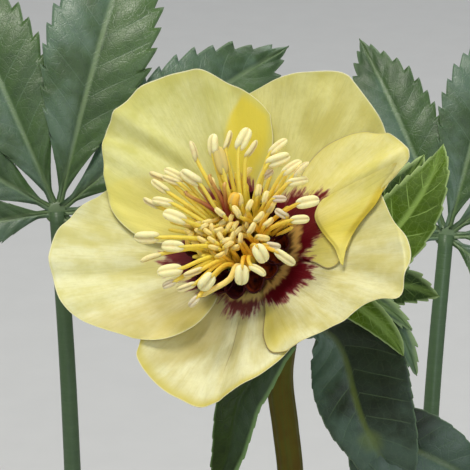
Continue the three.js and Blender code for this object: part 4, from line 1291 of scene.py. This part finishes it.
def leafMaterial(name, look):
    material, nodes = newMaterial(name)
    span, times, plus, value = nodes.span, nodes.times, nodes.plus, nodes.value
    surface, place = nodes.plane(), nodes.place()
    middle, edge, along, side = (value(key) for key in ("middle", "edge", "along", "side"))
    coarse = nodes.group(netGroup, {"Surface": surface, "Scale": look["net"], "Width": 0.1})
    small = nodes.group(netGroup, {"Surface": surface, "Scale": look["net"] * 2.6, "Width": 0.14})
    clouds = nodes.noise(place, 48.0, 4.0, 0.6)
    fine = nodes.noise(place, 520.0, 3.0)
    faint = times(plus(times(coarse["Lines"], 0.24), times(small["Lines"], 0.12)),
                  span(clouds, 0.3, 0.6, 1.0, 0.35))
    wrapped = nodes.gap(nodes.math("FRACT", value("veinPhase")), 0.5)
    lines = times(span(wrapped, 0.455, 0.495), span(edge, 0.3, 2.5))
    ridge = times(span(middle, look["midrib"] * 0.15, look["midrib"] * 1.15, 1.0, 0.0),
                  span(along, 0.5, 1.0, look["ribShare"], 0.45 * look["ribShare"]))
    pale = times(span(edge, 0.0, 0.4, 0.7, 0.0), span(along, 0.08, 0.22))
    # bluish patches of painted sheen that stand in for reflections of the sky, on one half of a blade and
    # further along it, with the grey tone of some lobes added
    sheenAndGreyTone = nodes.math("MAXIMUM", nodes.gap(side, look["sheenlessSide"]),
                      span(along, 0.3, 0.55, 0.0, look["farSheen"]))
    sheenAndGreyTone = plus(times(times(span(clouds, 0.42, 0.6, 1.0, 0.0), sheenAndGreyTone), look["paintedSheen"]), value("grey"))
    # painted shade over the right half of a blade, fading further along it; only the lower right bract has
    # it
    paintedSideShade = times(times(side, span(clouds, 0.36, 0.6, look["sideShade"], 0.4 * look["sideShade"])),
                   span(along, 0.32, 0.62, 1.0, 0.2))
    tint = nodes.layers(
        look["dark"],
        (value("tone"), look["light"]),
        (span(clouds, 0.38, 0.66, 0.0, 0.7), look["shade"]),
        (times(coarse["Cells"], 0.14), look["light"]),
        (span(fine, 0.45, 0.75, 0.0, 0.3), look["shade"]),
        (faint, look["vein"]),
        (times(lines, look["veinShare"]), look["vein"]),
        (ridge, look["rib"]),
        (pale, look["margin"]),
        (sheenAndGreyTone, look["bluish"]),
        (paintedSideShade, look["shade"]),
        (times(span(edge, 0.3, look["rollWidth"], look["roll"], 0.0), side), look["margin"]),
        (times(value("under"), 0.7), look["back"]))
    if "fork" in look:
        spot = tuple(nearBloom(look["fork"]) * mm)
        near = nodes.add("VectorMath", {0: place, 1: spot}, operation="DISTANCE").outputs["Value"]
        near = plus(near, span(clouds, 0.3, 0.7, -1.6 * mm, 1.6 * mm))
        tint = nodes.layers(tint, (span(near, 0.4 * mm, 3.2 * mm, 0.5, 0.0), look["rib"]))
    relief = plus(times(lines, -0.8), times(coarse["Lines"], -0.5), times(small["Lines"], -0.3),
                  times(fine, 0.5))
    roughness = span(clouds, 0.3, 0.7, look["roughness"] - 0.06, look["roughness"] + 0.08)
    dress(nodes, tint, roughness, nodes.bump(relief, 0.28, 0.2 * mm), look["gloss"],
          (look["glow"], 0.7, 1.2, 0.3))
    return material


# Bracts. Each lobe is a spine of offsets from the bloom's centre: right, up and forward.

backLook = {
    "bite": 0.14, "dark": (52, 78, 28), "light": (84, 112, 40), "shade": (38, 62, 24), "paintedSheen": 0.2,
    "vein": (96, 118, 58), "rib": (110, 130, 60), "margin": (124, 150, 90),
}
bracts = {
    "bract_lower_right": {
        "lobes": [
            {"halfWidth": 10.5, "skew": 0.21, "facing": (-0.35, 0.1, 1), "teeth": 17, "tone": 0.35,
             "foot": 2.3, "taper": (0.7, 0.7),
             "spine": [(10.9, -14.2, -18.8), (12.5, -13.9, -20), (14.4, -14.6, -20.5), (16.1, -15.8, -20.5),
                       (17.5, -17.8, -20.2), (18.9, -21.2, -19.5), (19.9, -25.5, -18.5), (20.7, -28.6, -18),
                       (22.1, -32.9, -17.5), (24.7, -38.1, -18.5), (27.5, -43.9, -21), (30.2, -49.8, -25)]},
            {"halfWidth": 6.0, "facing": (-0.2, 0.1, 1), "teeth": 12, "tone": 0.3,
             "spine": [(20.5, -32, -22), (25.5, -43, -21.5), (26, -52, -21.5), (24, -59, -24)]},
            {"halfWidth": 8.4, "facing": (0.1, 0.1, 1), "teeth": 12, "tone": 0.1,
             "spine": [(19, -31, -23), (29, -37, -21), (41, -43, -21), (50, -49, -25)]},
        ],
        # painted sheen over its left half and painted shade over its right half
        "bite": 0.022, "dark": (34, 50, 26), "light": (70, 92, 66), "shade": (18, 28, 10), "paintedSheen": 0.6,
        "sheenlessSide": 1, "farSheen": 0.75, "sideShade": 0.62, "vein": (96, 118, 78), "rib": (108, 124, 44),
        "margin": (124, 146, 110), "ribShare": 0.7, "fork": (23.8, -36.6, -17.4), "gloss": 0.4,
        "veinShare": 0.5, "bluish": (98, 124, 106),
    },
    "bract_lower_left": {
        "lobes": [
            {"halfWidth": 4.8, "skew": -0.03, "facing": (0.1, 0.1, 1), "teeth": 11, "tone": 0.3, "foot": 4.2,
             "taper": (0.6, 0.55),
             "spine": [(5, -15.7, -17), (3.2, -18.6, -15.5), (0.9, -21.6, -14.5), (-1.1, -24.9, -13.8),
                       (-3.1, -28.3, -13.5), (-4.5, -34.3, -13.5), (-5.2, -38.2, -14.5), (-6.5, -42.9, -17),
                       (-7.9, -48.4, -21)]},
            {"halfWidth": 4.7, "facing": (0.1, 0.3, 1), "teeth": 10, "tone": 0.3,
             "spine": [(5, -15.7, -17), (-2, -20, -22), (-9, -23.5, -29), (-15, -27, -37)]},
        ],
        "bite": 0.04, "dark": (28, 42, 4), "light": (66, 90, 26), "shade": (22, 36, 4), "paintedSheen": 0.1,
        "gloss": 0.2, "vein": (60, 80, 32), "rib": (64, 84, 34), "margin": (122, 152, 92), "ribShare": 0.25,
        "roll": 0.8, "rollWidth": 1.0, "veinShare": 0.2,
    },
    "bract_right": {
        "lobes": [
            {"halfWidth": 3.4, "facing": (-0.2, 0.3, 1), "teeth": 12, "tone": 1.0, "taper": (0.75, 0.7),
             "bite": 0.02,
             "spine": [(11.2, -9.8, -23.8), (16.4, -7.6, -17), (20.3, -8.9, -13), (23.5, -11.1, -11.8),
                       (26.4, -13.8, -12), (28.7, -16.5, -13), (30.4, -19.4, -15)]},
            {"halfWidth": 2.7, "facing": (0, 0.3, 1), "teeth": 9, "tone": 0.2, "grey": 0.35, "bite": 0.2,
             "spine": [(11.2, -9.8, -23.8), (18.7, -7.3, -24), (22.8, -7.7, -22), (25.7, -8.8, -19.5),
                       (28.6, -10.7, -18.5), (30.8, -12.7, -18.5), (32.4, -14.4, -20)]},
            {"halfWidth": 3.3, "facing": (0, 0.3, 1), "teeth": 10, "tone": 0.3, "grey": 0.6, "bite": 0.12,
             "spine": [(11.2, -9.8, -23.8), (19.8, -8.2, -26), (25.1, -9.6, -23), (28.2, -12.6, -20),
                       (30.7, -16.5, -19), (32.3, -20.4, -19), (33.5, -23.8, -21)]},
            {"halfWidth": 8.4, "facing": (-0.4, 0.4, 1), "teeth": 14, "tone": 0.8, "bite": 0.05,
             "taper": (0.72, 0.85),
             "spine": [(11.2, -9.8, -23.8), (18.1, -4.2, -27), (24.1, 1.1, -27), (29.2, 6.3, -25.5),
                       (33.7, 12.3, -25), (37.2, 18.4, -27), (39.6, 24.6, -31)]},
            {"halfWidth": 5.5, "facing": (0, 0.2, 1), "teeth": 11, "tone": 0.1,
             "spine": [(11.2, -9.8, -23.8), (19.9, -5.1, -30), (27.4, -4.9, -32), (33.1, -5.6, -33),
                       (39.3, -7.6, -37)]},
            # dark all over: painted shade filling the dark gap behind the bright lobe
            {"halfWidth": 6.5, "facing": (0, 0.2, 1), "teeth": 12, "tone": 0.0,
             "spine": [(11.2, -9.8, -23.8), (18.9, 0.1, -31), (26.4, 9.6, -34), (31.6, 15.8, -36),
                       (36.2, 22.5, -41)]},
        ],
        "bite": 0.11, "dark": (30, 50, 12), "light": (80, 108, 2), "shade": (38, 62, 4), "paintedSheen": 0.0,
        "vein": (150, 178, 96), "rib": (140, 168, 84), "margin": (178, 200, 134), "veinShare": 0.6,
        "roll": 0.35, "rollWidth": 1.1, "roughness": 0.55, "gloss": 0.2, "bluish": (104, 128, 112),
    },
    "bract_upper": {
        "lobes": [
            {"halfWidth": 8.4, "facing": (0, 0.2, 1), "teeth": 13, "tone": 0.5,
             "spine": [(5.6, -8.1, -25.8), (4, 2, -30), (1, 14, -33), (-2, 25, -37)]},
            {"halfWidth": 7.4, "facing": (-0.2, 0.1, 1), "teeth": 13, "tone": 0.5,
             "spine": [(5.6, -8.1, -25.8), (13, 1, -31), (18, 11, -34), (22, 21, -39)]},
        ],
        **backLook,
    },
    "bract_left": {
        "lobes": [
            {"halfWidth": 7.9, "facing": (0.3, 0.2, 1), "teeth": 13, "tone": 0.5,
             "spine": [(0.5, -11.3, -22), (-8, -4, -25), (-17, 4, -29), (-25, 11, -35)]},
            {"halfWidth": 5.3, "facing": (0.3, 0.5, 1), "teeth": 11, "tone": 0.5,
             "spine": [(0.5, -11.3, -22), (-8, -12, -24), (-17, -11.5, -26), (-25, -11, -30)]},
        ],
        **backLook,
    },
}
greenLook = {"net": 0.6, "midrib": 0.9, "bluish": (112, 134, 130), "back": (104, 126, 84), "roughness": 0.42,
             "glow": 0.08, "gloss": 0.5, "sheenlessSide": 0, "farSheen": 0, "sideShade": 0, "roll": 0, "rollWidth": 1.0,
             "veinShare": 0.45, "ribShare": 0.85}
# the swollen foot of a bract
knob = [(0.05, -1.9), (1.2, -1.5), (1.85, -0.4), (1.8, 0.6), (1.2, 1.5), (0.05, 1.9)]


def makeBract(name, spec, seed):
    piece = Piece()
    draw = np.random.default_rng(seed)
    foot = nearBloom(spec["lobes"][0]["spine"][0])
    piece.addRings(turnedRings(knob, 20) + foot, tone=0.6, edge=3.0)
    for lobe in spec["lobes"]:
        right, above, forward = lobe["facing"]
        facing = unit(right * seenRight + above * seenUp + forward * seenForward)
        spine = [nearBloom(spot) for spot in lobe["spine"]]
        addBlade(piece, spine, facing, draw, {"bite": spec["bite"], **lobe})
    piece.build(name, leafMaterial(name + "Skin", {**greenLook, **spec}))


for seed, (name, spec) in enumerate(bracts.items()):
    makeBract(name, spec, seed + 30)
print("stage: bracts ready")


# Palmate leaves: a stalk from the soil and seven leaflets round its head

leaf = {
    "stalk": 2.2,
    "stalkSides": 20,
    "stalkRidges": (5, 0.05),
    "flare": 0.8,  # of the stalk, near the compost
    "hub": 1.4,
    "disc": [(0.05, -1.4), (1.8, -1.2), (2.7, -0.5), (2.6, 0.0), (1.6, 0.25), (0.05, 0.3)],
    "angles": [0, 38, -38, 76, -76, 115, -115],
    "sizes": [1, 0.94, 0.94, 0.8, 0.8, 0.6, 0.6],
    "breadth": 0.178,
    "rise": 0.3,
    "arch": 0.75,
    "leaflet": {"fold": 0.2, "foot": 0.9, "taper": (1.05, 1.25), "teeth": 15, "bite": 0.14, "curl": 0.14,
                "veins": 10, "perTooth": 6},
}
leafValues = ("root", "hub", "heading", "pitch", "roll", "length")
leaves = [
    ((-40, 18), (-44.5, 32, 290), 90, 60, -14, 70),
    ((34, 24), (41, 53, 277), 90, 60, -16, 54),
    ((27, -4), (112, -4, 214), 2, 6, 0, 66),
    ((-18, 2), (-112, 6, 226), 176, 10, 0, 68),
    ((-8, -16), (-66, -84, 178), 232, 2, 0, 62),
    ((16, -20), (58, -92, 166), 302, 0, 0, 60),
]
leafLook = {**greenLook, "dark": (44, 72, 34), "light": (84, 112, 56), "shade": (34, 58, 28), "paintedSheen": 0.35,
            "vein": (92, 116, 84), "rib": (114, 136, 90), "margin": (104, 126, 90), "midrib": 0.7}


# a direction turned about an axis
def turned(v, axis, angle):
    across, along = np.cross(axis, v), axis * (axis @ v)
    return v * math.cos(angle) + across * math.sin(angle) + along * (1 - math.cos(angle))


def makeLeaf(name, spec, seed, material):
    piece = Piece()
    draw = np.random.default_rng(seed)
    level = plant["soilLevel"]
    foot = np.array([*spec["root"], level], float)
    head = np.array(spec["hub"], float)
    heading = spec["heading"] * degree
    forward = np.array([math.cos(heading), math.sin(heading), 0])
    side = np.cross([0, 0, 1], forward)
    ahead = turned(forward, side, -spec["pitch"] * degree)
    facing = np.cross(ahead, side)
    route = [foot - [0, 0, plant["rootDepth"]], foot + [0, 0, 4]]
    for t in (0.2, 0.45, 0.72, 1):
        rising = 1 - (1 - t) ** 1.35
        spot = foot + (head - foot) * t ** 1.7
        route.append(np.array([spot[0], spot[1], level + (head[2] - level) * rising]))
    path = Path(route)
    steps = np.linspace(0, 1, 70)
    aboveSoil = np.abs(path.at(steps)[:, 2] - level)
    radii = leaf["stalk"] * (1 - 0.25 * steps) + leaf["flare"] * smoothstep(16, 0, aboveSoil)
    ends = alongTube(steps, leaf["stalkSides"])
    stalk = tubeRings(path, steps, radii, leaf["stalkSides"], *leaf["stalkRidges"])
    piece.addRings(stalk, plane=np.stack([ends * 0, ends * path.length], -1), tone=0.3, edge=4.0, middle=0.8,
                   along=0.3)
    disc = turnedRings(leaf["disc"], 30) @ np.array([side, np.cross(facing, side), facing]) + head
    piece.addRings(disc, tone=0.5, edge=4.0, middle=0.5, along=0.5)
    for i, (angle, share) in enumerate(zip(leaf["angles"], leaf["sizes"])):
        direction = turned(ahead, facing, (angle + spec["roll"]) * degree)
        reach = spec["length"] * share
        start = head + direction * leaf["hub"]
        arch = leaf["arch"] + 0.1 * (i % 3)
        turns = leaf["rise"] - arch * np.linspace(0, 1, 7)
        spine = [start + direction * reach / arch * (math.sin(leaf["rise"]) - math.sin(a))
                 + facing * reach / arch * (math.cos(a) - math.cos(leaf["rise"])) for a in turns]
        shape = {**leaf["leaflet"], "halfWidth": leaf["breadth"] * reach, "tone": draw.uniform(0.15, 0.7)}
        addBlade(piece, spine, facing, draw, shape)
    piece.build(name, material)


leafSkin = leafMaterial("leafSkin", leafLook)
for number, values in enumerate(leaves, 1):
    makeLeaf(f"leaf_{number}", dict(zip(leafValues, values)), number + 50, leafSkin)
print("stage: leaves ready")


# Pot

pot = {
    "height": 118,
    "sides": 128,
    "wobble": 0.18,
    "throwing": 0.09,  # the rings a potter's fingers leave
    "outside": [(0.05, 0), (48, 0), (50.6, 0.1), (51.7, 0.6), (52.1, 1.7), (54, 12), (61, 48), (69.3, 93.5),
                (70.0, 95.2), (71.6, 96.0), (73.3, 96.6), (73.9, 98), (74.2, 104), (74.5, 113),
                (74.3, 116.4), (73.4, 117.7), (71.8, 118), (70.0, 117.9), (68.5, 117.2), (67.9, 115.8)],
    "inside": [(66.6, 108), (58, 66), (47.2, 9.5), (46.4, 7.2), (44.4, 6), (0.05, 6)],
    "holes": 3,
    "holeRadius": 5,
    "holeCircle": 30,
    "clay": (184, 116, 80),
    "pale": (206, 158, 126),
    "dark": (146, 84, 56),
    "lime": (222, 208, 192),
}


def straightPath(corners, spacing):
    corners = np.asarray(corners, float)
    line = [corners[:1]]
    for a, b in zip(corners, corners[1:]):
        count = max(1, int(np.linalg.norm(b - a) / spacing))
        line.append(a + (b - a) * (np.arange(1, count + 1) / count)[:, None])
    return np.concatenate(line)


def makePot():
    profile = straightPath(pot["outside"] + pot["inside"], 3.0)
    rings = turnedRings(profile, pot["sides"])
    wobble = unevenness(rings, 60, 3) * pot["wobble"]
    throwing = pot["throwing"] * np.sin(rings[..., 2] * 1.9)
    radius = np.maximum(np.hypot(rings[..., 0], rings[..., 1]), 1e-6)
    swell = 1 + (wobble + throwing) * smoothstep(20, 45, radius) * smoothstep(0, 6, rings[..., 2]) / radius
    rings[..., :2] *= swell[..., None]
    piece = Piece()
    piece.addRings(rings)
    material, nodes = newMaterial("firedClay")
    place, span = nodes.place(), nodes.span
    height = nodes.add("SeparateXYZ", {0: place}).outputs[2]
    clouds = nodes.noise(nodes.stretch(place, (1, 1, 2.2)), 26.0, 5.0, 0.6)
    grain = nodes.noise(place, 900.0, 4.0, 0.7)
    bands = nodes.noise(nodes.stretch(place, (0.6, 0.6, 30.0)), 14.0, 3.0)
    bloomed = nodes.noise(nodes.stretch(place, (1, 1, 1.6)), 44.0, 6.0, 0.7)
    pits = specks(nodes, place, 420.0, 0.12, 0.3)
    tint = nodes.layers(
        pot["clay"],
        (span(clouds, 0.35, 0.7), pot["pale"]),
        (span(bands, 0.5, 0.75, 0.0, 0.5), pot["dark"]),
        (nodes.times(span(height, 0.0, 0.035, 0.7, 0.0), span(clouds, 0.3, 0.6)), pot["dark"]),
        (nodes.times(span(bloomed, 0.52, 0.7), span(height, 0.03, 0.11, 0.15, 0.6)), pot["lime"]),
        (nodes.times(pits, 0.4), pot["dark"]))
    relief = nodes.math("SUBTRACT", nodes.plus(nodes.times(grain, 0.7), bands), pits)
    dress(nodes, tint, span(grain, 0.3, 0.7, 0.78, 0.95), nodes.bump(relief, 0.55, 0.5 * mm))
    drillHoles(piece.build("pot", material))


def drillHoles(made):
    cutters = []
    radius, reach = pot["holeRadius"], 12
    for hole in range(pot["holes"]):
        turn = hole / pot["holes"] * fullTurn + math.pi / 2
        drill = turnedRings([(0.05, -reach), (radius, -reach), (radius, reach), (0.05, reach)], 40)
        drill += np.array([math.cos(turn), math.sin(turn), 0]) * pot["holeCircle"]
        cutter = bpy.data.meshes.new("drill")
        points, faces = ringsPart(drill)
        cutter.from_pydata((points * mm).tolist(), [], [face.tolist() for group in faces for face in group])
        cutters.append(bpy.data.objects.new("drill", cutter))
        bpy.context.scene.collection.objects.link(cutters[-1])
        cut = made.modifiers.new("drill", "BOOLEAN")
        cut.operation, cut.object, cut.solver = "DIFFERENCE", cutters[-1], "EXACT"
    bpy.context.view_layer.update()
    drilled = bpy.data.meshes.new_from_object(made.evaluated_get(bpy.context.evaluated_depsgraph_get()))
    made.modifiers.clear()
    made.data = drilled
    for cutter in cutters:
        bpy.data.objects.remove(cutter)


makePot()
print("stage: pot ready")


# Compost: a lumpy bed with crumbs and chips of bark on it

soil = {
    "wall": 66.4,
    "foot": 44.6,
    "floor": 6.4,
    "lump": 1.5,
    "crumbs": 620,
    "chips": 0.3,  # the share of them that are bark
    "sides": 150,
    "swell": 1.6,
    "dark": (40, 28, 20),
    "brown": (82, 60, 42),
    "bark": (112, 82, 56),
    "grit": (190, 180, 160),
}


def soilHeight(x, y):
    swell = np.sin(0.13 * x + 1.1) * np.cos(0.11 * y - 0.4) + 0.5 * np.sin(0.23 * y + 0.31 * x)
    return plant["soilLevel"] + soil["swell"] * swell


def turnedAbout(points, axis, angle):
    first, second = [k for k in range(3) if k != axis]
    spun = points.copy()
    spun[:, first] = points[:, first] * math.cos(angle) - points[:, second] * math.sin(angle)
    spun[:, second] = points[:, first] * math.sin(angle) + points[:, second] * math.cos(angle)
    return spun


def makeSoil():
    draw = np.random.default_rng(21)
    wall = soil["wall"] - 1.2
    profile = [(0.05, soil["floor"]), (soil["foot"] - 1.6, soil["floor"]), (soil["foot"], soil["floor"] + 2)]
    profile += [(wall - 0.6, 99), (wall, 102.5)]
    profile += [(r, plant["soilLevel"]) for r in np.linspace(wall - 1, 0.05, 62)]
    rings = turnedRings(profile, soil["sides"])
    surface = rings[5:]
    flat = surface[..., :2].reshape(-1, 2)
    rough = unevenness(flat, 9, 4, 12) * soil["lump"] * 0.55
    rough = rough + unevenness(flat, 3.2, 5, 14) * soil["lump"] * 0.4
    rough += np.abs(unevenness(flat, 1.8, 6, 14)) * 0.5
    fade = smoothstep(0, 8, wall - np.hypot(flat[:, 0], flat[:, 1]))
    height = soilHeight(flat[:, 0], flat[:, 1]) + rough * fade - 0.5 * (1 - fade)
    surface[..., 2] = height.reshape(surface.shape[:2])
    piece = Piece()
    piece.addRings(rings, bark=0.0, tone=0.4)
    bpy.ops.mesh.primitive_ico_sphere_add(subdivisions=2, radius=1)
    ball = bpy.context.active_object
    corners = np.array([v.co for v in ball.data.vertices])
    triangles = np.array([list(p.vertices) for p in ball.data.polygons])
    bpy.data.objects.remove(ball)
    for i in range(soil["crumbs"]):
        r = (wall - 3.5) * math.sqrt(draw.uniform())
        turn = draw.uniform(0, fullTurn)
        spot = np.array([r * math.cos(turn), r * math.sin(turn)])
        bark = draw.uniform() < soil["chips"]
        size = draw.uniform(0.7, 2.2) if not bark else draw.uniform(1.6, 3.6)
        shape = np.array([1.0, draw.uniform(0.6, 1), draw.uniform(0.5, 0.9)])
        if bark:
            shape = np.array([1.0, draw.uniform(0.3, 0.6), draw.uniform(0.16, 0.3)])
        lump = np.sign(corners) * np.abs(corners) ** (0.6 if bark else 0.85) * shape * size
        lump += lump * unevenness(corners, 1.4, 100 + i)[:, None] * 0.14
        way, tilt = draw.uniform(0, fullTurn), draw.uniform(-0.5, 0.5)
        lump = turnedAbout(turnedAbout(lump, 1, tilt), 2, way)
        base = np.array([*spot, soilHeight(*spot) + 0.25 * size])
        piece.add(lump + base, [triangles], bark=float(bark), tone=draw.uniform())
    material, nodes = newMaterial("compost")
    place, span = nodes.place(), nodes.span
    clods = nodes.noise(place, 180.0, 5.0, 0.7)
    fibres = nodes.noise(nodes.stretch(place, (1, 5, 1)), 420.0, 4.0)
    barkTint = nodes.layers(soil["bark"], (span(fibres, 0.35, 0.65), soil["brown"]))
    tint = nodes.layers(
        soil["dark"],
        (span(clods, 0.35, 0.7), soil["brown"]),
        (nodes.times(nodes.value("bark"), 0.85), barkTint),
        (nodes.times(nodes.value("tone"), 0.4), soil["dark"]),
        (specks(nodes, place, 330.0, 0.06, 0.22), soil["grit"]))
    dress(nodes, tint, span(clods, 0.3, 0.7, 0.72, 0.95), nodes.bump(clods, 0.8, 1.2 * mm))
    piece.build("soil", material)


makeSoil()
print("stage: compost ready")
